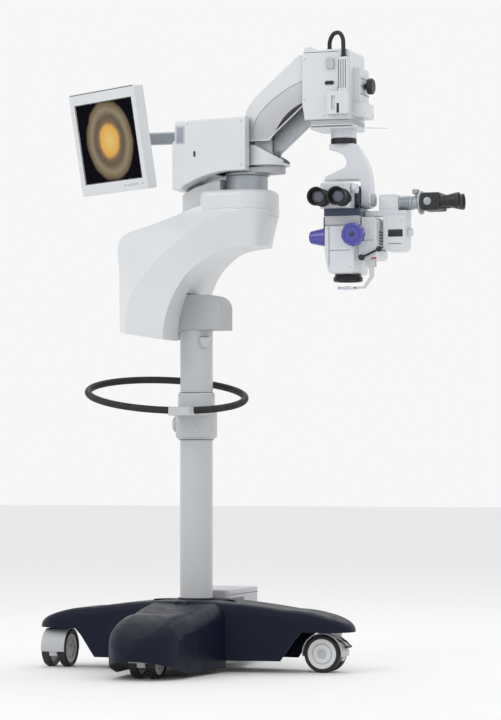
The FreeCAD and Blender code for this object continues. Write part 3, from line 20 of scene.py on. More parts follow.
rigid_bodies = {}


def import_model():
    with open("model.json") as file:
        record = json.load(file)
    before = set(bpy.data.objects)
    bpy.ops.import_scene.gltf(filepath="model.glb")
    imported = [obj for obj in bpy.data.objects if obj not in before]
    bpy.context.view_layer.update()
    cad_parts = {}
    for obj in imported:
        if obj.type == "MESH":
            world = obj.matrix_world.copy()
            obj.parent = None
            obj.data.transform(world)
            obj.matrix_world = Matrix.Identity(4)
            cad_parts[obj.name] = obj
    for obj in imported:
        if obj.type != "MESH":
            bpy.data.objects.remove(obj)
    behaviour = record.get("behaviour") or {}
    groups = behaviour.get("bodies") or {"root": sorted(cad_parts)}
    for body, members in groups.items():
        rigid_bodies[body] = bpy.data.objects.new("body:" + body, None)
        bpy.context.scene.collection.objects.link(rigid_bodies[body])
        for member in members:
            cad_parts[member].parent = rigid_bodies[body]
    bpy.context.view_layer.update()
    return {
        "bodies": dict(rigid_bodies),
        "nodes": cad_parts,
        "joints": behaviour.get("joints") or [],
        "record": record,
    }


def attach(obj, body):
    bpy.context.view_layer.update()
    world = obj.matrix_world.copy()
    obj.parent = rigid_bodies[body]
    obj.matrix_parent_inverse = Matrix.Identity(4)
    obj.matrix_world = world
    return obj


log = logging.getLogger("microscope")

Point = tuple[float, float, float]
Color = tuple[float, float, float]
Piece = bpy.types.Object
Socket = bpy.types.NodeSocket

COLUMN_OFFSET_MM: Point = (-171.0, 21.0, 0.0)
MM_PER_M = 1000.0

# Sockets of the colour mix node.
MIX_FACTOR, MIX_FIRST, MIX_SECOND = 0, 6, 7
MIX_RESULT = 2
# Range in which most values of a noise node lie.
NOISE_LOW, NOISE_HIGH = 0.3, 0.7

DUST_COLOR: Color = (0.55, 0.53, 0.5)
TYRE_COLOR: Color = (0.012, 0.012, 0.013)
DISPLAY_RINGS: tuple[tuple[float, Color], ...] = (
    (0.0, (1.0, 0.74, 0.26)),
    (0.4, (0.95, 0.52, 0.12)),
    (0.5, (0.26, 0.18, 0.11)),
    (0.62, (0.17, 0.13, 0.09)),
    (0.78, (0.36, 0.3, 0.2)),
    (0.93, (0.2, 0.15, 0.09)),
    (1.0, (0.004, 0.004, 0.006)),
)


class Grain(Enum):
    """Kind of fine surface relief."""

    NONE = "none"
    ORANGE_PEEL = "orange_peel"
    CAST = "cast"
    BRUSHED = "brushed"
    RIBBED = "ribbed"


@dataclass(frozen=True)
class Stand:
    """Frame of the real stand."""

    offset: Point = COLUMN_OFFSET_MM

    def point(self, x: float, y: float, z: float) -> Vector:
        """Turn a place on the stand, in millimetres, into the row frame, in metres."""
        return Vector((x + self.offset[0], y + self.offset[1], z + self.offset[2])) / MM_PER_M


STAND = Stand()


class Nodes:
    """Small helper that writes one material's node tree."""

    def __init__(self, material: bpy.types.Material) -> None:
        """Empty the tree and add the output.

        Args:
            material: Material whose tree is written.
        """
        material.use_nodes = True
        self.tree = material.node_tree
        self.tree.nodes.clear()
        self.output = self.add("OutputMaterial")

    def add(self, kind: str, **values: object) -> bpy.types.Node:
        """Add a node and set its properties or its sockets' values.

        Args:
            kind: Node type, without its leading ShaderNode.
            **values: Property names, or socket names with underscores for blanks.

        Returns:
            The new node.
        """
        node = self.tree.nodes.new("ShaderNode" + kind)
        for key, value in values.items():
            if hasattr(node, key):
                setattr(node, key, value)
            else:
                node.inputs[key.replace("_", " ")].default_value = value
        return node

    def link(self, source: Socket, target: Socket) -> None:
        """Join an output socket to an input socket."""
        self.tree.links.new(source, target)

    def step(self, kind: str, operation: str, result: str, *values: Socket | Point | float) -> Socket:
        """Add a node that calculates.

        Args:
            kind: Node type.
            operation: What it does.
            result: Name of the output wanted.
            *values: Sockets or plain values of its inputs, in their order.

        Returns:
            The output.
        """
        node = self.add(kind, operation=operation)
        for slot, value in zip(node.inputs, values):
            if isinstance(value, Socket):
                self.link(value, slot)
            else:
                slot.default_value = value
        return node.outputs[result]

    def show(self, shader: bpy.types.Node) -> None:
        """Join a shader node to the material's surface."""
        self.link(shader.outputs["BSDF"], self.output.inputs["Surface"])

    def place(self) -> Socket:
        """Return the socket with the object's own coordinates."""
        return self.add("TexCoord").outputs["Object"]

    def noise(self, scale: float, detail: float, stretch: Point = (1.0, 1.0, 1.0)) -> Socket:
        """Noise over the object's own coordinates.

        Args:
            scale: Noise cells per metre.
            detail: Octaves.
            stretch: Scale of the coordinates along each axis.

        Returns:
            Socket with values round one half.
        """
        mapping = self.add("Mapping", Scale=stretch)
        cells = self.add("TexNoise", Scale=scale, Detail=detail)
        self.link(self.place(), mapping.inputs["Vector"])
        self.link(mapping.outputs["Vector"], cells.inputs["Vector"])
        return cells.outputs["Fac"]

    def between(self, factor: Socket, low: float, high: float) -> Socket:
        """Spread a noise value over a range.

        Args:
            factor: Noise value.
            low: Result at the low end.
            high: Result at the high end.

        Returns:
            Socket with the spread value.
        """
        spread = self.add("MapRange", From_Min=NOISE_LOW, From_Max=NOISE_HIGH, To_Min=low, To_Max=high)
        self.link(factor, spread.inputs["Value"])
        return spread.outputs["Result"]

    def blend(self, factor: Socket, first: Color | Socket, second: Color) -> Socket:
        """Mix two colours.

        Args:
            factor: Mixing factor.
            first: Colour, or socket with a colour, at factor 0.
            second: Colour at factor 1.

        Returns:
            Colour socket.
        """
        mix = self.add("Mix", data_type="RGBA")
        self.link(factor, mix.inputs[MIX_FACTOR])
        if isinstance(first, Socket):
            self.link(first, mix.inputs[MIX_FIRST])
        else:
            mix.inputs[MIX_FIRST].default_value = (*first, 1.0)
        mix.inputs[MIX_SECOND].default_value = (*second, 1.0)
        return mix.outputs[MIX_RESULT]


GRAIN_NOISE: dict[Grain, tuple[float, float, Point]] = {
    Grain.CAST: (420.0, 4.0, (1.0, 1.0, 1.0)),
    Grain.BRUSHED: (90.0, 3.0, (1.0, 1.0, 26.0)),
    Grain.ORANGE_PEEL: (260.0, 2.0, (1.0, 1.0, 1.0)),
}


@dataclass(frozen=True)
class Finish:
    """Painted, moulded or cast surface with soft edges, uneven gloss and fine relief."""

    name: str
    color: Color
    slot: str = ""
    rough: float = 0.35
    metal: float = 0.0
    coat: float = 0.0
    uneven: float = 0.05
    grain: Grain = Grain.ORANGE_PEEL
    relief: float = 0.05
    edge_mm: float = 1.2
    dust: float = 0.04
    shine: float = 0.5
    coat_rough: float = 0.12
    relief_depth: float = 0.0006
    cloud: tuple[float, float] = (7.0, 3.0)
    smear: tuple[float, float] = (34.0, 5.0)
    dust_from: float = 0.7

    def material(self) -> bpy.types.Material:
        """Return the Blender material, made once.

        Returns:
            The material.
        """
        made = bpy.data.materials.get(self.name)
        if made is None:
            made = bpy.data.materials.new(self.name)
            self.write(Nodes(made))
        return made

    def write(self, nodes: Nodes) -> None:
        """Write the node tree.

        Args:
            nodes: Helper on an empty tree.
        """
        shader = nodes.add(
            "BsdfPrincipled",
            Metallic=self.metal,
            Coat_Weight=self.coat,
            Coat_Roughness=self.coat_rough,
            Specular_IOR_Level=self.shine,
        )
        nodes.link(self.dusted(nodes, self.tint(nodes)), shader.inputs["Base Color"])
        gloss = nodes.between(nodes.noise(*self.smear), self.rough * 0.85, min(1.0, self.rough * 1.2))
        nodes.link(gloss, shader.inputs["Roughness"])
        nodes.link(self.normal(nodes), shader.inputs["Normal"])
        nodes.show(shader)

    def tint(self, nodes: Nodes) -> Socket:
        """Colour that drifts a little over the surface.

        Args:
            nodes: Helper.

        Returns:
            Colour socket.
        """
        dark = tuple(max(0.0, c * (1.0 - self.uneven)) for c in self.color)
        light = tuple(min(1.0, c * (1.0 + 0.5 * self.uneven)) for c in self.color)
        return nodes.blend(nodes.between(nodes.noise(*self.cloud), 0.0, 1.0), dark, light)

    def dusted(self, nodes: Nodes, tint: Socket) -> Socket:
        """Lay a faint film of dust on faces that look up.

        Args:
            nodes: Helper.
            tint: Clean colour.

        Returns:
            Colour socket.
        """
        facing = nodes.add("NewGeometry")
        split = nodes.add("SeparateXYZ")
        nodes.link(facing.outputs["Normal"], split.inputs["Vector"])
        upward = nodes.add("MapRange", From_Min=self.dust_from, From_Max=1.0, To_Max=self.dust)
        nodes.link(split.outputs["Z"], upward.inputs["Value"])
        return nodes.blend(upward.outputs["Result"], tint, DUST_COLOR)

    def normal(self, nodes: Nodes) -> Socket:
        """Soft edges below the relief of the grain.

        Args:
            nodes: Helper.

        Returns:
            Normal socket.
        """
        edge = nodes.add("Bevel", samples=4)
        edge.inputs["Radius"].default_value = self.edge_mm / MM_PER_M
        if self.grain is Grain.NONE:
            return edge.outputs["Normal"]
        bump = nodes.add("Bump", Strength=self.relief, Distance=self.relief_depth)
        nodes.link(self.height(nodes), bump.inputs["Height"])
        nodes.link(edge.outputs["Normal"], bump.inputs["Normal"])
        return bump.outputs["Normal"]

    def height(self, nodes: Nodes) -> Socket:
        """Height field of the grain.

        Args:
            nodes: Helper.

        Returns:
            Height socket.
        """
        if self.grain is Grain.RIBBED:
            wave = nodes.add("TexWave", wave_type="BANDS", bands_direction="DIAGONAL", Scale=110.0)
            nodes.link(nodes.place(), wave.inputs["Vector"])
            return wave.outputs["Fac"]
        return nodes.noise(*GRAIN_NOISE[self.grain])


@dataclass(frozen=True)
class GlassFinish(Finish):
    """Coated optical glass."""

    def write(self, nodes: Nodes) -> None:
        """Write clear glass with a faint coloured reflection.

        Args:
            nodes: Helper on an empty tree.
        """
        shader = nodes.add(
            "BsdfPrincipled",
            IOR=1.52,
            Transmission_Weight=0.85,
            Coat_Weight=0.7,
            Coat_Tint=(0.7, 0.75, 1.0, 1.0),
        )
        cloud = nodes.noise(60.0, 2.0)
        deeper = tuple(c * 0.9 for c in self.color)
        nodes.link(nodes.blend(cloud, self.color, deeper), shader.inputs["Base Color"])
        nodes.link(nodes.between(cloud, 0.01, 0.04), shader.inputs["Roughness"])
        nodes.show(shader)


@dataclass(frozen=True)
class WheelFinish(Finish):
    """Pale wheel disc with a black tyre, told apart by the distance from the axle."""

    centre: Point = (0.0, 0.0, 0.0)
    axle: Point = (0.0, 1.0, 0.0)
    tyre_from: float = 0.0452

    def tint(self, nodes: Nodes) -> Socket:
        """Disc colour inside, rubber outside.

        Args:
            nodes: Helper.

        Returns:
            Colour socket.
        """
        away = nodes.step("VectorMath", "SUBTRACT", "Vector", nodes.place(), self.centre)
        square = nodes.step("VectorMath", "CROSS_PRODUCT", "Vector", away, self.axle)
        reach = nodes.step("VectorMath", "LENGTH", "Value", square)
        outside = nodes.step("Math", "GREATER_THAN", "Value", reach, self.tyre_from)
        return nodes.blend(outside, super().tint(nodes), TYRE_COLOR)


@dataclass(frozen=True)
class ScreenFinish(Finish):
    """Lit display: a round field of view on black, with a warm glow inside a grey ring."""

    centre: Point = (0.0, 0.0, 0.0)
    radius: float = 0.1
    waver: float = 0.016
    glow: float = 0.75

    def write(self, nodes: Nodes) -> None:
        """Write the display's picture from rings round a centre.

        Args:
            nodes: Helper on an empty tree.
        """
        away = nodes.step("VectorMath", "DISTANCE", "Value", nodes.place(), self.centre)
        wobble = nodes.step("Math", "MULTIPLY_ADD", "Value", nodes.noise(22.0, 4.0), self.waver, away)
        share = nodes.step("Math", "DIVIDE", "Value", wobble, self.radius)
        ramp = nodes.add("ValToRGB")
        band = ramp.color_ramp
        # A new ramp already holds two stops.
        for index, (position, color) in enumerate(DISPLAY_RINGS):
            stop = band.elements[index] if index < 2 else band.elements.new(position)
            stop.position = position
            stop.color = (*color, 1.0)
        nodes.link(share, ramp.inputs["Fac"])
        shader = nodes.add(
            "BsdfPrincipled",
            Roughness=0.2,
            Specular_IOR_Level=0.0,
            Base_Color=(0.002, 0.002, 0.003, 1.0),
            Emission_Strength=self.glow,
        )
        nodes.link(ramp.outputs["Color"], shader.inputs["Emission Color"])
        nodes.show(shader)


WHITE = Finish("WhiteCover", (0.65, 0.67, 0.69), "white_cover", rough=0.32, coat=0.25, uneven=0.03)
COLUMN_PAINT = Finish("ColumnPaint", (0.5, 0.515, 0.53), rough=0.34, coat=0.2, uneven=0.03)
WHITE_METAL = Finish("WhitePaint", (0.63, 0.655, 0.69), rough=0.3, coat=0.35, uneven=0.03)
NAVY = Finish("NavyCover", (0.006, 0.009, 0.022), rough=0.42, coat=0.03, uneven=0.12, dust=0.006, shine=0.14)
NAVY_METAL = Finish("NavyPaint", (0.02, 0.035, 0.075), "navy_metal", rough=0.34, coat=0.3, uneven=0.1)
GREY = Finish("GreyCover", (0.47, 0.48, 0.5), "grey_cover", rough=0.42, uneven=0.05, relief=0.1)
GREY_METAL = Finish(
    "GreyMetal", (0.36, 0.39, 0.42), "grey_metal", rough=0.36, metal=0.5, grain=Grain.BRUSHED, relief=0.08,
)
CASTING = Finish("Casting", (0.42, 0.43, 0.45), rough=0.48, metal=0.35, grain=Grain.CAST, relief=0.25)
IRON = Finish("CastIron", (0.05, 0.055, 0.06), rough=0.6, metal=0.2, grain=Grain.CAST, relief=0.4)
STEEL = Finish("Steel", (0.62, 0.62, 0.62), "steel", rough=0.26, metal=1.0, grain=Grain.BRUSHED, edge_mm=0.5)
BLACK = Finish(
    "BlackPlastic", (0.012, 0.012, 0.014), "black_plastic", rough=0.45, uneven=0.2, relief=0.12, edge_mm=0.6,
)
RUBBER = Finish(
    "BlackRubber", (0.01, 0.01, 0.011), "black_rubber", rough=0.62, uneven=0.25, grain=Grain.CAST, relief=0.12
)
BRAID = Finish("BraidedSleeve", (0.012, 0.012, 0.014), rough=0.6, grain=Grain.RIBBED, relief=0.8, edge_mm=0.3)
BLUE = Finish("BlueKnob", (0.06, 0.055, 0.38), "blue_plastic", rough=0.24, coat=0.6, uneven=0.1, edge_mm=0.8)
MAUVE = Finish("MauveGrey", (0.3, 0.3, 0.37), "black_plastic", rough=0.35, uneven=0.05)
# Dark seams and marks; the same dark colour also paints a shadow line on the carrier.
SEAM_AND_SHADOW = Finish("DarkSeamAndShadow", (0.02, 0.021, 0.024), "black_plastic", rough=0.7, grain=Grain.NONE)
RED = Finish("RedMark", (0.45, 0.01, 0.01), "blue_plastic", rough=0.3, grain=Grain.NONE)
BLACK_METAL = Finish(
    "BlackMetal", (0.016, 0.016, 0.019), "black_metal", rough=0.34, metal=0.3, relief=0.08, edge_mm=0.6,
)
LENS = GlassFinish("OpticalGlass", (0.86, 0.9, 0.95), "lens_glass")

FINISH_NODES: tuple[tuple[Finish, tuple[str, ...]], ...] = (
    (IRON, ("base_chassis",)),
    (NAVY, ("base_shell",)),
    (NAVY_METAL, ("optics_carrier",)),
    (COLUMN_PAINT, ("column_tube", "column_sleeve")),
    (CASTING, ("column_head", "swivel_plate", "knuckle", "arm_beam", "carrier_frame", "stage_upper")),
    (GREY, ("base_connector_box", "carrier_latch", "caster_fork")),
    (GREY_METAL, ("bearing_housing", "monitor_bar", "monitor_fork", "lower_link", "assistant_tube")),
    (WHITE_METAL, ("stage_lower", "yoke", "binocular_housing", "microscope_body", "assistant_bridge")),
    (STEEL, ("balance_spring", "lens_arm")),
    (RUBBER, ("push_ring", "eyepiece_left", "eyepiece_right")),
    (BLACK, ("mains_switch", "lock_knob", "focus_lever", "assistant_head")),
    (BLACK_METAL, ("head_ring", "objective")),
    (BLUE, ("left_handle", "front_knob")),
    (LENS, ("objective_lens", "wide_lens")),
    (BRAID, ("cable_loop",)),
)
NODE_FINISH: dict[str, Finish] = {name: finish for finish, names in FINISH_NODES for name in names}
FORK = "caster_fork"


def paint(piece: Piece, finish: Finish) -> None:
    """Give a piece one finish all over."""
    piece.data.materials.clear()
    piece.data.materials.append(finish.material())


@dataclass
class Shaper:
    """Models pieces with Blender's primitives and edit steps, straight in the row frame."""

    bevel_segments: int = 2
    smooth_angle: float = math.radians(35.0)
    ring_segments: tuple[int, int] = (56, 10)
    ball_segments: tuple[int, int] = (32, 16)
    plate_bevel_mm: float = 0.4
    same_width: float = 1e-6

    def clear_selection(self) -> None:
        """Deselect every object."""
        bpy.ops.object.select_all(action="DESELECT")

    def settle(self, piece: Piece, bevel_mm: float) -> Piece:
        """Apply a piece's placement and round its edges.

        Args:
            piece: Object just made.
            bevel_mm: Width of the rounding, or 0.

        Returns:
            The same object, its origin at the row's origin.
        """
        self.clear_selection()
        piece.select_set(True)
        bpy.context.view_layer.objects.active = piece
        bpy.ops.object.transform_apply(location=True, rotation=True, scale=True)
        if bevel_mm > 0:
            rounding = piece.modifiers.new("Rounding", "BEVEL")
            rounding.width = bevel_mm / MM_PER_M
            rounding.segments = self.bevel_segments
            rounding.limit_method = "ANGLE"
            bpy.ops.object.modifier_apply(modifier=rounding.name)
        bpy.ops.object.shade_smooth_by_angle(angle=self.smooth_angle)
        return piece

    def block(self, low: Point, high: Point, bevel_mm: float = 0.8) -> Piece:
        """Box between two corners.

        Args:
            low: Lowest corner on the stand, in millimetres.
            high: Highest corner.
            bevel_mm: Rounding.

        Returns:
            The new object.
        """
        first, second = STAND.point(*low), STAND.point(*high)
        bpy.ops.mesh.primitive_cube_add(size=1.0, location=(first + second) / 2)
        piece = bpy.context.object
        piece.scale = second - first
        return self.settle(piece, bevel_mm)

    def disc(
        self, centre: Point, axis: Vector, radius: float, depth: float, bevel_mm: float = 0.5, sides: int = 40
    ) -> Piece:
        """Round or many-sided bar, centred on a place.

        Args:
            centre: Middle on the stand, in millimetres.
            axis: Direction of the bar.
            radius: Radius in millimetres.
            depth: Length in millimetres.
            bevel_mm: Rounding.
            sides: Number of sides.

        Returns:
            The new object.
        """
        bpy.ops.mesh.primitive_cylinder_add(
            vertices=sides, radius=radius / MM_PER_M, depth=depth / MM_PER_M, location=STAND.point(*centre)
        )
        piece = bpy.context.object
        piece.rotation_euler = Vector(axis).to_track_quat("Z", "Y").to_euler()
        return self.settle(piece, bevel_mm)

    def ring(self, centre: Point, axis: Vector, radius: float, thickness: float) -> Piece:
        """Thin round ring.

        Args:
            centre: Middle on the stand, in millimetres.
            axis: Axis of the ring.
            radius: Radius of its centreline.
            thickness: Radius of its section.

        Returns:
            The new object.
        """
        bpy.ops.mesh.primitive_torus_add(
            major_radius=radius / MM_PER_M,
            minor_radius=thickness / MM_PER_M,
            major_segments=self.ring_segments[0],
            minor_segments=self.ring_segments[1],
            location=STAND.point(*centre),
        )
        piece = bpy.context.object
        piece.rotation_euler = Vector(axis).to_track_quat("Z", "Y").to_euler()
        return self.settle(piece, 0.0)

    def ball(self, centre: Point, radius: float, squash: Point = (1.0, 1.0, 1.0)) -> Piece:
        """Ball or flattened ball.

        Args:
            centre: Middle on the stand, in millimetres.
            radius: Radius in millimetres.
            squash: Scale along each axis.

        Returns:
            The new object.
        """
        bpy.ops.mesh.primitive_uv_sphere_add(
            segments=self.ball_segments[0],
            ring_count=self.ball_segments[1],
            radius=radius / MM_PER_M,
            location=STAND.point(*centre),
        )
        piece = bpy.context.object
        piece.scale = squash
        return self.settle(piece, 0.0)

    def strip(self, places: Sequence[Point], width: Vector, thickness: Vector) -> Piece:
        """Flat bar that follows a line.

        Args:
            places: Points of the line on the stand, in millimetres.
            width: Vector across the bar, in millimetres.
            thickness: Vector through the bar, in millimetres.

        Returns:
            The new object.
        """
        half = Vector(width) / 2.0
        lower = [tuple(Vector(place) - half) for place in places]
        upper = [tuple(Vector(place) + half) for place in places]
        return self.ribbon(lower, upper, thickness)

    def ribbon(self, lower: Sequence[Point], upper: Sequence[Point], thickness: Vector) -> Piece:
        """Flat plate between two lines with the same number of points.

        A plate whose width changes lies square to Y.

        Args:
            lower: Points of its first edge on the stand, in millimetres.
            upper: Points of its second edge.
            thickness: Vector through the plate, in millimetres.

        Returns:
            The new object.
        """
        sections = [(STAND.point(*low), STAND.point(*high)) for low, high in zip(lower, upper)]
        middles = [(first + second) / 2 for first, second in sections]
        widths = [(second - first).length for first, second in sections]
        across = (sections[0][1] - sections[0][0]).normalized()
        through = Vector(thickness).normalized()
        turn = Matrix((across, through, across.cross(through))).transposed()
        bpy.ops.mesh.primitive_plane_add(size=1.0, location=middles[0], rotation=turn.to_euler())
        piece = bpy.context.object
        piece.scale = (widths[0], Vector(thickness).length / MM_PER_M, 1.0)
        bpy.ops.object.transform_apply(location=True, rotation=True, scale=True)
        bpy.ops.object.mode_set(mode="EDIT")
        bpy.ops.mesh.select_all(action="SELECT")
        for index in range(1, len(middles)):
            step = middles[index] - middles[index - 1]
            bpy.ops.mesh.extrude_region_move(TRANSFORM_OT_translate={"value": step})
            growth = widths[index] / widths[index - 1]
            if abs(growth - 1.0) > self.same_width:
                bpy.ops.transform.resize(value=(growth, 1.0, growth), center_override=middles[index])
        bpy.ops.mesh.select_all(action="SELECT")
        bpy.ops.mesh.normals_make_consistent(inside=False)
        bpy.ops.object.mode_set(mode="OBJECT")
        return self.settle(piece, self.plate_bevel_mm)

    def finished(self, name: str, parts: Iterable[Piece], finish: Finish, body: str) -> Piece:
        """Join objects to one named piece, give it its finish and let it ride on a body.

        Args:
            name: Piece name.
            parts: Objects to join.
            finish: Surface, with its material slot of the record.
            body: Body that carries the piece.

        Returns:
            The piece.
        """
        members = list(parts)
        self.clear_selection()
        for member in members:
            member.select_set(True)
        bpy.context.view_layer.objects.active = members[0]
        if len(members) > 1:
            bpy.ops.object.join()
        piece = bpy.context.view_layer.objects.active
        piece.name = name
        piece.data.name = name
        paint(piece, finish)
        self.clear_selection()
        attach(piece, body)
        log.info("%s rides on %s", name, body)
        return piece


SHAPER = Shaper()
X_WAY, Y_WAY, Z_WAY = (Vector(row) for row in Matrix.Identity(3))


@dataclass
class SubAssembly:
    """One part of the stand that is dressed with small pieces."""

    shaper: Shaper = field(default_factory=lambda: SHAPER)

    def dress(self) -> None:
        """Model the small pieces of this part."""
        raise NotImplementedError

    def screws(self, places: Iterable[Point], axis: Vector, radius: float = 3.2) -> list[Piece]:
        """Round screw heads, each with a thin ring round its drive.

        Args:
            places: Seats on the stand, in millimetres.
            axis: Direction the heads look.
            radius: Head radius.

        Returns:
            The heads, each with its drive ring.
        """
        heads: list[Piece] = []
        for place in places:
            out = Vector(place) + axis * 0.6
            heads.append(self.shaper.disc(tuple(out), axis, radius, 1.6, 0.4, 24))
            drive = Vector(place) + axis * 1.6
            heads.append(self.shaper.ring(tuple(drive), axis, radius * 0.45, 0.35))
        return heads


@dataclass
class Base(SubAssembly):
    """Foot collar, connector box details, and the wheels and brake loops of the casters."""

    box_side: float = 78.0
    vent_count: int = 8
    vent_pitch: float = 14.0
    bolt_count: int = 8
    bolt_circle: float = 69.0
    caster_radius: float = 448.0
    trail: float = -26.0
    wheel_z: float = 57.5
    casters: tuple[tuple[str, float, float], ...] = (
        ("right", 0.0, 0.0),
        ("rear", 90.0, 0.0),
        ("left", 180.0, -90.0),
        ("front", 270.0, 0.0),
    )

    def dress(self) -> None:
        """Add the collar, the box's lid line and vents, bolts, screws and the casters' details."""
        s = self.shaper
        s.finished("foot_collar", [s.ring((0, 0, 219.0), Z_WAY, 54.5, 3.2)], RUBBER, "stand")
        lines = [
            s.block((side * self.box_side - 0.4, 86, 226), (side * self.box_side + 0.4, 366, 227.4), 0.0)
            for side in (-1, 1)
        ]
        lines.append(s.block((-66, 371.6, 184.0), (66, 372.4, 185.4), 0.0))
        for side in (1, -1):
            low, high = sorted((side * (self.box_side - 0.2), side * (self.box_side + 0.4)))
            for step in range(self.vent_count):
                y = 120 + self.vent_pitch * step
                lines.append(s.block((low, y, 196), (high, y + 7, 216), 0.2))
        s.finished("box_seams", lines, SEAM_AND_SHADOW, "stand")
        pins = [s.block((x - 1.0, 355.5, 206), (x + 1.0, 369, 214), 0.3) for x in (-31, -23, -15)]
        s.finished("inlet_contacts", pins, STEEL, "stand")
        flange = []
        for step in range(self.bolt_count):
            turn = 2 * math.pi * step / self.bolt_count
            seat = (self.bolt_circle * math.cos(turn), self.bolt_circle * math.sin(turn), 207.5)
            flange.append(s.disc(seat, Z_WAY, 8.5, 7.0, 0.8, 6))
        s.finished("flange_bolts", flange, STEEL, "stand")
        bolts = self.screws([(x, y, 242.6) for x in (-66, 66) for y in (100, 352)], Z_WAY)
        s.finished("box_screws", bolts, STEEL, "stand")
        for name, turn, heading in self.casters:
            self.caster(name, turn, heading)

    def caster(self, name: str, turn: float, heading: float) -> None:
        """Wheel finish, black foot loop, hub caps and tyre rims of one caster.

        Args:
            name: Caster name.
            turn: Direction of its arm, in degrees.
            heading: Turn of the caster about its stem.
        """
        s = self.shaper
        turned = Matrix.Rotation(math.radians(turn), 3, "Z")
        headed = Matrix.Rotation(math.radians(heading), 3, "Z")
        across = turned @ headed @ Y_WAY

        def carried(x: float, y: float, z: float) -> Point:
            """Turn a place round the caster's stem, at a height above the floor, to the stand.

            Args:
                x: Ahead of the stem.
                y: Beside it.
                z: Height.

            Returns:
                The place on the stand.
            """
            local = headed @ Vector((x, y, 0.0)) + Vector((self.caster_radius, 0.0, 0.0))
            spot = turned @ local
            return (spot.x, spot.y, z)

        def on_axle(y: float) -> Point:
            """Return a place on the wheels' axle."""
            return carried(self.trail, y, self.wheel_z)

        wheel = WheelFinish(
            "Wheel_" + name,
            (0.72, 0.73, 0.74),
            rough=0.5,
            uneven=0.08,
            dust=0.03,
            centre=tuple(STAND.point(*on_axle(0))),
            axle=tuple(across),
        )
        paint(bpy.data.objects["caster_wheels_" + name], wheel)
        loop = []
        for y in (-22, 22):
            line = [carried(16, y, 104), carried(34, y, 94), carried(47, y, 80)]
            loop.append(s.strip(line, across * 7, Z_WAY * 5))
        loop.append(s.disc(carried(47, 0, 79), across, 4.2, 54, 1.0))
        s.finished("brake_loop_" + name, loop, BLACK, "fork_" + name)
        caps = []
        for side in (-1, 1):
            caps.append(s.disc(on_axle(side * 39.6), across, 12.5, 2.4, 0.8))
            caps.append(s.ring(on_axle(side * 36.2), across, 30.0, 1.4))
        s.finished("hub_caps_" + name, caps, GREY, "wheels_" + name)
        tyres = [s.ring(on_axle(side * 38.2), across, 52.6, 3.4) for side in (-1, 1)]
        s.finished("tyre_rims_" + name, tyres, RUBBER, "wheels_" + name)


@dataclass
class Column(SubAssembly):
    """Details of the column and of its sleeve."""

    seams: tuple[Point, ...] = ((806.5, 61.0, 1.1), (859.5, 52.4, 1.4), (713.5, 53.0, 1.4))
    outlet_turn: float = math.radians(-44)
    outlet_reach: float = 57.0
    sleeve_radius: float = 65.0

    def dress(self) -> None:
        """Add sleeve seams, screws and the plug of the cable outlet."""
        s = self.shaper
        rings = [s.ring((0, 0, z), Z_WAY, radius, thickness) for z, radius, thickness in self.seams]
        s.finished("sleeve_seams", rings, SEAM_AND_SHADOW, "stand")
        plug_x = self.outlet_reach * math.cos(self.outlet_turn)
        plug_y = self.outlet_reach * math.sin(self.outlet_turn)
        s.finished("outlet_plug", [s.disc((plug_x, plug_y, 1029.0), Z_WAY, 14.0, 8.0, 1.5)], RUBBER, "stand")
        heads: list[Piece] = []
        for turn in (math.radians(-70), math.radians(-20)):
            out = Vector((math.cos(turn), math.sin(turn), 0.0))
            seat = (self.sleeve_radius * out.x, self.sleeve_radius * out.y, 745.0)
            heads += self.screws([seat], out, 4.0)
        s.finished("sleeve_screws", heads, STEEL, "stand")


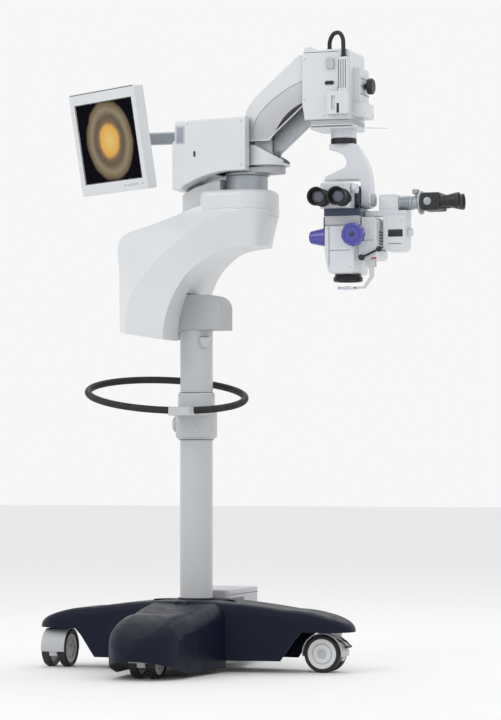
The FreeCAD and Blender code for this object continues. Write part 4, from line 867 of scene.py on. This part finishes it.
@dataclass
class SwivelBox(SubAssembly):
    """Details of the swivel box, the monitor's bar and the spring arm."""

    half_width: float = 110.0
    angle: float = math.radians(41.5)
    pivot: Point = (236.0, 0.0, 1662.0)
    arm_half_width: float = 70.0
    grip_start: float = 38.0
    grip_length: float = 132.0
    grip_low: float = -31.0
    grip_bulge: float = 13.0
    panel_low: float = -33.0
    elbow_low: float = -24.0
    curve_steps: int = 16
    curve: tuple[tuple[float, float], ...] = ((-30.0, -1.0), (-14.0, 60.0), (120.0, 62.0), (222.0, 16.0))

    def along(self, distance: float, height: float, y: float) -> Point:
        """Place on the arm.

        Args:
            distance: Millimetres along the arm from its pivot.
            height: Millimetres square to it.
            y: Millimetres across.

        Returns:
            The place on the stand.
        """
        x = self.pivot[0] + distance * math.cos(self.angle) - height * math.sin(self.angle)
        z = self.pivot[2] + distance * math.sin(self.angle) + height * math.cos(self.angle)
        return (x, y, z)

    def dress(self) -> None:
        """Add windows, marks, screws, the arm's sides and the bar's stripe."""
        s = self.shaper
        for name, side in (("near", -1), ("far", 1)):
            outer = side * self.half_width
            rim = [self.plate(side, (-29, 0), (1629, 1685), 0.5, 0.3)]
            s.finished("box_window_frame_" + name, rim, GREY, "swivel_arm")
            pane = [self.plate(side, (-25, -5), (1634, 1680), 0.9, 0.5)]
            s.finished("box_window_" + name, pane, MAUVE, "swivel_arm")
            mark = [self.plate(side, (29, 36), (1588, 1605), 0.5, 0.2)]
            s.finished("box_marks_" + name, mark, SEAM_AND_SHADOW, "swivel_arm")
            heads = self.screws([(8, outer, 1694), (184, outer, 1694), (184, outer, 1560)], Y_WAY * side)
            s.finished("box_screws_" + name, heads, STEEL, "swivel_arm")
            self.arm_side(name, side)
        stripe = [s.block((-196, -14.2, 1674), (-44, -12.6, 1679.2), 0.3)]
        s.finished("bar_stripe", stripe, WHITE, "swivel_arm")

    def plate(
        self, side: int, x: tuple[float, float], z: tuple[float, float], proud: float, bevel_mm: float
    ) -> Piece:
        """Return a thin plate on the near (-1) or far (1) face of the box, between two x and two z."""
        low, high = sorted((side * self.half_width, side * (self.half_width + proud)))
        return self.shaper.block((x[0], low, z[0]), (x[1], high, z[1]), bevel_mm)

    def arm_side(self, name: str, side: int) -> None:
        """Leaf-shaped black slot, grey panel with its seam, and pivot caps of one side of the arm.

        Args:
            name: Side name.
            side: -1 near, 1 far.
        """
        s = self.shaper
        outer = side * self.arm_half_width
        tilt = Vector((-math.sin(self.angle), 0.0, math.cos(self.angle)))
        shares = [step / self.curve_steps for step in range(self.curve_steps + 1)]
        low_line, high_line = [], []
        for share in shares:
            distance = self.grip_start + self.grip_length * share
            height = self.grip_low + 1.0 + self.grip_bulge * math.sin(math.pi * share)
            low_line.append(self.along(distance, self.grip_low, outer))
            high_line.append(self.along(distance, height, outer))
        s.finished("arm_grip_" + name, [s.ribbon(low_line, high_line, Y_WAY * 2.0)], BLACK, "upper_arm")
        bends = [self.bend(share) for share in shares]
        edge = [self.along(distance, height, outer) for distance, height in bends]
        foot = [self.along(distance, self.panel_foot(distance), outer) for distance, _ in bends]
        s.finished("arm_panel_" + name, [s.ribbon(foot, edge, Y_WAY * 0.7)], GREY, "upper_arm")
        s.finished("arm_seam_" + name, [s.strip(edge, tilt * 1.4, Y_WAY * 1.0)], SEAM_AND_SHADOW, "upper_arm")
        caps = [
            s.disc(self.along(distance, 0, outer + side * 0.8), Y_WAY, 7.0, 2.2, 0.7) for distance in (0, 258)
        ]
        s.finished("pivot_caps_" + name, caps, GREY, "upper_arm")

    def panel_foot(self, distance: float) -> float:
        """Return the height of the side panel's lower edge, which turns level at the elbow."""
        level = (self.elbow_low - distance * math.sin(self.angle)) / math.cos(self.angle)
        return max(self.panel_low, level)

    def bend(self, share: float) -> tuple[float, float]:
        """Place on the curved upper edge of the arm's side panel.

        Args:
            share: From 0 at the elbow to 1 at the carrier.

        Returns:
            Distance along the arm and height square to it, in millimetres.
        """
        rest = 1 - share
        weights = (rest**3, 3 * share * rest**2, 3 * share**2 * rest, share**3)
        distance = sum(weight * control[0] for weight, control in zip(weights, self.curve))
        height = sum(weight * control[1] for weight, control in zip(weights, self.curve))
        return distance, height


@dataclass
class Monitor(SubAssembly):
    """Screen details in the monitor's own tilted frame."""

    yaw: float = math.radians(-34.0)
    tilt: float = math.radians(10.0)
    pin_y: float = 64.0
    post_y: float = 98.0
    post: Point = (-213.0, 0.0, 1660.0)
    width: float = 362.0
    height: float = 325.0
    thick: float = 50.0
    lit_width: float = 312.0
    lit_height: float = 250.0
    key_z: float = -143.0

    def carried(self, x: float, y: float, z: float) -> Point:
        """Turn a place in the monitor's frame to the stand.

        Args:
            x: Right of its middle.
            y: Behind its front.
            z: Above its middle.

        Returns:
            The place on the stand.
        """
        spot = Matrix.Rotation(self.tilt, 3, "X") @ Vector((x, y - self.pin_y, z))
        spot += Vector((0.0, self.pin_y - self.post_y, 0.0))
        return tuple(Matrix.Rotation(self.yaw, 3, "Z") @ spot + Vector(self.post))

    def way(self, direction: Vector) -> Vector:
        """Turn a direction of the monitor's frame to the stand."""
        return Matrix.Rotation(self.yaw, 3, "Z") @ Matrix.Rotation(self.tilt, 3, "X") @ direction

    def slab(self, x: float, y: float, z: float, size: Point) -> Piece:
        """Flat bar square to the monitor.

        Args:
            x: Middle, to the right.
            y: Middle, behind the front.
            z: Middle, above.
            size: Width, depth and height.

        Returns:
            The new object.
        """
        half = size[0] / 2
        ends = [self.carried(x - half, y, z), self.carried(x + half, y, z)]
        return self.shaper.strip(ends, self.way(Z_WAY) * size[2], self.way(Y_WAY) * size[1])

    def dress(self) -> None:
        """Add the frame's lines, the keys, the vents, the lit display and the post's caps."""
        s = self.shaper
        front = self.way(Y_WAY)
        lines = [self.slab(0, -0.1, self.height / 2 - 3.2, (self.width - 14, 0.8, 2.2))]
        for side in (-1, 1):
            edge = side * (self.lit_height / 2 + 1.2)
            lines.append(self.slab(0, 0.0, edge, (self.lit_width + 5, 0.8, 1.6)))
        for side in (-1, 1):
            lines.append(self.slab(side * (self.lit_width / 2 + 1.2), 0.0, 0, (1.6, 0.8, self.lit_height)))
        lines += [self.slab(0, self.thick - 0.2, 70 - 12 * i, (150, 1.2, 4)) for i in range(6)]
        s.finished("monitor_lines", lines, SEAM_AND_SHADOW, "monitor")
        keys = [s.disc(self.carried(60 + 17 * i, -0.6, self.key_z), front, 3.6, 2.2, 0.6) for i in range(5)]
        s.finished("monitor_keys", keys, GREY, "monitor")
        lamp = [s.disc(self.carried(156, -0.4, self.key_z), front, 1.8, 1.6, 0.3)]
        s.finished("monitor_lamp", lamp, BLUE, "monitor")
        centre = tuple(STAND.point(*self.carried(6, 3, 2)))
        screen = ScreenFinish("DisplayPicture", (0.01, 0.01, 0.01), centre=centre, radius=0.137)
        paint(bpy.data.objects["monitor_screen"], screen)
        posts = [s.disc((self.post[0], self.post[1], z), Z_WAY, 9.5, 4.0, 1.0) for z in (1686.5, 1633.5)]
        s.finished("fork_post_caps", posts, BLACK, "monitor_joint")


@dataclass
class Carrier(SubAssembly):
    """Details on the head carrier."""

    side_y: float = -80.0
    cup_x: tuple[float, float] = (452.0, 470.0)
    cup_z: float = 1803.0

    def oval(self, y: float, radius: float, depth: float, bevels: tuple[float, float]) -> list[Piece]:
        """Flat bar with round ends, laid along X.

        Args:
            y: Middle of its thickness.
            radius: Half its height.
            depth: Thickness.
            bevels: Roundings of its ends and of its middle.

        Returns:
            Two discs and a block.
        """
        s = self.shaper
        parts = [s.disc((x, y, self.cup_z), Y_WAY, radius, depth, bevels[0]) for x in self.cup_x]
        low = (self.cup_x[0], y - depth / 2, self.cup_z - radius)
        high = (self.cup_x[1], y + depth / 2, self.cup_z + radius)
        return parts + [s.block(low, high, bevels[1])]

    def dress(self) -> None:
        """Add the oval cup, seams, a painted shadow line along the slanted panel's edge, the cable clip,
        collars, screws and the thin rod.
        """
        s = self.shaper
        y = self.side_y
        cup = self.oval(y - 0.4, 8.2, 1.6, (0.5, 0.3))
        s.finished("side_cup", cup, GREY, "carrier")
        lines = self.oval(y - 1.3, 5.4, 0.6, (0.0, 0.0))
        # Painted shadow: a thin dark strip along the right edge of the slanted panel stands in for the shadow
        # line there.
        shadow_line = [(x, y - 0.1, z) for x, z in ((487, 1790), (486, 1770), (478, 1746), (478, 1700))]
        lines.append(s.strip(shadow_line, X_WAY * 1.4, Y_WAY * 0.6))
        lines.append(s.block((380, y - 0.3, 1898), (488, y + 0.3, 1899.4), 0.0))
        lines += [s.block((494 + 7 * i, -94.4, 1784), (496 + 7 * i, -93.6, 1872), 0.0) for i in range(4)]
        s.finished("carrier_seams_and_shadow_line", lines, SEAM_AND_SHADOW, "carrier")
        slot = [s.block((489, y - 18.6, 1708), (497, y - 17.8, 1738), 2.0)]
        s.finished("carrier_slot", slot, BLACK, "carrier")
        s.finished("carrier_clip", [s.block((470, y - 4, 1742), (482, y, 1752), 1.0)], BLACK, "carrier")
        collars = [s.ring((456, -62, 1908.2), Z_WAY, 8.0, 1.8), s.ring((508, -87, 1881.4), Z_WAY, 8.0, 1.6)]
        s.finished("loop_collars", collars, RUBBER, "carrier")
        heads = self.screws([(382, y, 1756), (382, y, 1880), (442, y, 1704)], Y_WAY * -1)
        heads += self.screws([(382, -y, 1756), (382, -y, 1880), (516, -y, 1704), (516, -y, 1890)], Y_WAY)
        heads += self.screws([(564, side * 44, 1710) for side in (-1, 1)], X_WAY)
        s.finished("carrier_screws", heads, STEEL, "carrier")
        downhill = Vector((95.0, 0.0, -5.0))
        rod = [s.disc((585.0, -60.0, 1662.0), downhill, 1.2, 108.0, 0.0, 12)]
        s.finished("thin_rod", rod, STEEL, "slide_along")
        bands = [s.block((551, -47, 1770 + 24 * i), (550.2, 47, 1771.2 + 24 * i), 0.0) for i in range(3)]
        s.finished("accessory_bands", bands, SEAM_AND_SHADOW, "carrier")


@dataclass
class Optics(SubAssembly):
    """Details on the binocular head, the body and the assistant's microscope."""

    eye_x: tuple[float, float] = (452.5, 515.5)
    eye_tip_y: float = -192.0
    tilt_z: float = 1446.0
    knob_z: float = 1334.0

    def dress(self) -> None:
        """Add lenses, ribs, caps, panels, seams, screws and marks."""
        s = self.shaper
        for name, x in zip(("left", "right"), self.eye_x):
            glass = [s.ball((x, self.eye_tip_y + 21.0, self.tilt_z), 18.5, (1.0, 0.14, 1.0))]
            s.finished("eye_lens_" + name, glass, LENS, "eyepiece_" + name)
            ribs = [s.ring((x, -124.0 - 4.0 * i, self.tilt_z), Y_WAY, 26.2, 0.8) for i in range(4)]
            s.finished("dioptre_ribs_" + name, ribs, BLACK_METAL, "eyepiece_" + name)
            collar = [s.ring((x, -118.6, self.tilt_z), Y_WAY, 22.4, 1.8)]
            s.finished("eye_collar_" + name, collar, GREY, "optics")
        cap = [
            s.disc((579.4, 0, self.tilt_z), X_WAY, 20.0, 8.0, 2.0),
            s.disc((583.8, 0, self.tilt_z), X_WAY, 11.0, 2.0, 0.6),
        ]
        s.finished("tilt_cap", cap, GREY, "head")
        lock = [
            s.disc((440.0, 0, self.tilt_z), X_WAY, 30.0, 12.0, 2.5),
            s.disc((431.0, 0, self.tilt_z), X_WAY, 19.0, 8.0, 2.0),
        ]
        s.finished("tilt_lock", lock, GREY, "optics")
        band = [s.block((448, -89, 1366.5), (556, -80.2, 1393.5), 1.2)]
        s.finished("prism_block_face", band, GREY, "optics")
        s.finished("left_bracket", [s.block((443.2, -86, 1352), (446, -66, 1392), 0.8)], NAVY_METAL, "optics")
        knob_marks = [
            s.ring((545, -126.4, self.knob_z), Y_WAY, 24.0, 0.9),
            s.disc((545, -126.6, self.knob_z), Y_WAY, 9.0, 1.2, 0.4),
        ]
        s.finished("focus_knob_marks", knob_marks, NAVY_METAL, "focus_knob")
        handle_marks = [
            s.ring((384.2, -30, self.knob_z), X_WAY, 12.0, 0.9),
            s.disc((385.0, -30, self.knob_z), X_WAY, 6.0, 2.4, 0.6),
        ]
        s.finished("handle_marks", handle_marks, NAVY_METAL, "zoom_handle")
        seams = [
            s.block((461, -88.5, 1240), (462.4, -87.6, 1360), 0.0),
            s.block((462, -88.5, 1288), (528, -87.6, 1289.2), 0.0),
            s.block((548, -70.4, 1270), (549.2, -69.6, 1360), 0.0),
            s.block((560, -70.4, 1318), (598, -69.6, 1319.2), 0.0),
        ]
        seams += [s.block((605.6, -40, 1290 + 9 * i), (606.4, 30, 1293 + 9 * i), 0.0) for i in range(7)]
        s.finished("body_seams", seams, SEAM_AND_SHADOW, "optics")
        heads = self.screws([(456, -88, 1356), (530, -88, 1236)], Y_WAY * -1, 2.6)
        heads += self.screws([(572, -70, 1378), (592, -70, 1282)], Y_WAY * -1, 2.6)
        heads += self.screws([(630, -36, 1380), (676, -36, 1380)], Y_WAY * -1, 2.6)
        s.finished("body_screws", heads, STEEL, "optics")
        rings = [s.ring((500, -15, 1200.5 + 3.0 * i), Z_WAY, 45.1, 0.7) for i in range(4)]
        s.finished("objective_ribs", rings, BLACK_METAL, "optics")
        s.finished("red_lamp_cap", [s.ball((596, -66, 1264.0), 6.5, (1.6, 0.8, 0.5))], RED, "optics")
        camera = [
            s.block((634, -37.4, 1330), (680, -35.8, 1352), 0.8),
            s.block((634, -36.6, 1308), (676, -35.8, 1309.4), 0.0),
        ]
        s.finished("camera_marks", camera, BLACK, "optics")
        s.finished("bridge_panel", [s.block((606, -27.4, 1418), (659, -26, 1454), 0.8)], WHITE, "optics")
        tube = [s.ring((671 + 6 * i, 0, 1434), X_WAY, 21.6, 0.7) for i in range(5)]
        s.finished("assistant_ribs", tube, BLACK_METAL, "assistant")
        lenses = [s.ball((843, side * 27, 1436), 15.5, (0.16, 1.0, 1.0)) for side in (-1, 1)]
        s.finished("assistant_lenses", lenses, LENS, "assistant")
        caps = [s.disc((760, side * 44.4, 1435), Y_WAY, 12.0, 2.0, 0.6) for side in (-1, 1)]
        s.finished("assistant_caps", caps, GREY_METAL, "assistant")


@dataclass(frozen=True)
class Studio:
    """Pale floor, soft lights and the photo's camera."""

    azimuth: float = math.radians(20.0)
    distance_mm: float = 9000.0
    camera_z_mm: float = 650.0
    lens_mm: float = 144.0
    yaw: float = math.radians(1.074)
    pitch: float = math.radians(1.989)
    target: Point = (0.1, 0.0, 1.0)
    sky_strength: float = 0.93

    def light(self, name: str, place: Point, size: float, power: float) -> None:
        """Add one large soft light that faces the stand.

        Args:
            name: Light name.
            place: Place in metres.
            size: Edge length in metres.
            power: Watts.
        """
        data = bpy.data.lights.new(name, "AREA")
        data.size = size
        data.energy = power
        lamp = bpy.data.objects.new(name, data)
        bpy.context.scene.collection.objects.link(lamp)
        lamp.location = place
        lamp.rotation_euler = (Vector(self.target) - Vector(place)).to_track_quat("-Z", "Y").to_euler()

    def floor(self) -> None:
        """Add the pale floor."""
        bpy.ops.mesh.primitive_plane_add(size=60.0, location=(0.0, 0.0, 0.0))
        ground = bpy.context.object
        ground.name = "floor"
        finish = Finish("PaleFloor", (0.86, 0.86, 0.86), rough=0.8, uneven=0.01, grain=Grain.NONE, dust=0.0)
        ground.data.materials.append(finish.material())

    def camera(self) -> None:
        """Place the camera so that the column and the horizon fall where the photo has them."""
        back = Vector((math.sin(self.azimuth), -math.cos(self.azimuth), 0.0))
        right = Vector((math.cos(self.azimuth), math.sin(self.azimuth), 0.0))
        base = STAND.point(0.0, 0.0, self.camera_z_mm)
        data = bpy.data.cameras.new("photo_camera")
        data.lens = self.lens_mm
        data.clip_end = 100.0
        eye = bpy.data.objects.new("photo_camera", data)
        bpy.context.scene.collection.objects.link(eye)
        eye.location = base + back * (self.distance_mm / MM_PER_M)
        level = (-back) * math.cos(self.yaw) + right * math.sin(self.yaw)
        look = level * math.cos(self.pitch) + Z_WAY * math.sin(self.pitch)
        eye.rotation_euler = look.to_track_quat("-Z", "Y").to_euler()
        bpy.context.scene.camera = eye

    def build(self) -> None:
        """Set the stage."""
        self.floor()
        self.camera()
        self.light("key", (-2.6, -4.2, 4.4), 2.6, 60.0)
        self.light("fill", (4.4, -3.4, 2.6), 3.6, 8.0)
        self.light("top", (0.4, 1.8, 5.0), 3.0, 44.0)
        world = bpy.data.worlds.new("Studio")
        world.use_nodes = True
        sky = world.node_tree.nodes["Background"]
        sky.inputs["Color"].default_value = (1.0, 1.0, 1.0, 1.0)
        sky.inputs["Strength"].default_value = self.sky_strength
        bpy.context.scene.world = world
        bpy.context.scene.view_settings.view_transform = "Standard"


@dataclass
class Microscope:
    """Whole object: finishes of the CAD pieces and the dressed sub-assemblies."""

    parts: tuple[SubAssembly, ...] = field(
        default_factory=lambda: (Base(), Column(), SwivelBox(), Monitor(), Carrier(), Optics())
    )

    def paint_nodes(self, nodes: dict[str, Piece]) -> None:
        """Give each CAD piece its finish; covers that aren't listed are white.

        Args:
            nodes: CAD pieces by name.
        """
        for name, piece in nodes.items():
            kind = FORK if name.startswith(FORK) else name
            paint(piece, NODE_FINISH.get(kind, WHITE))

    def build(self, frame: dict) -> None:
        """Paint and dress.

        Args:
            frame: What the loader returned.
        """
        self.paint_nodes(frame["nodes"])
        for part in self.parts:
            part.dress()
            log.info("dressed %s", type(part).__name__)


def main() -> None:
    """Load the frame, dress it and set the stage."""
    logging.basicConfig(level=logging.INFO)
    for item in list(bpy.data.objects):
        bpy.data.objects.remove(item)
    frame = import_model()
    Microscope().build(frame)
    Studio().build()


if __name__ == "__main__":
    main()
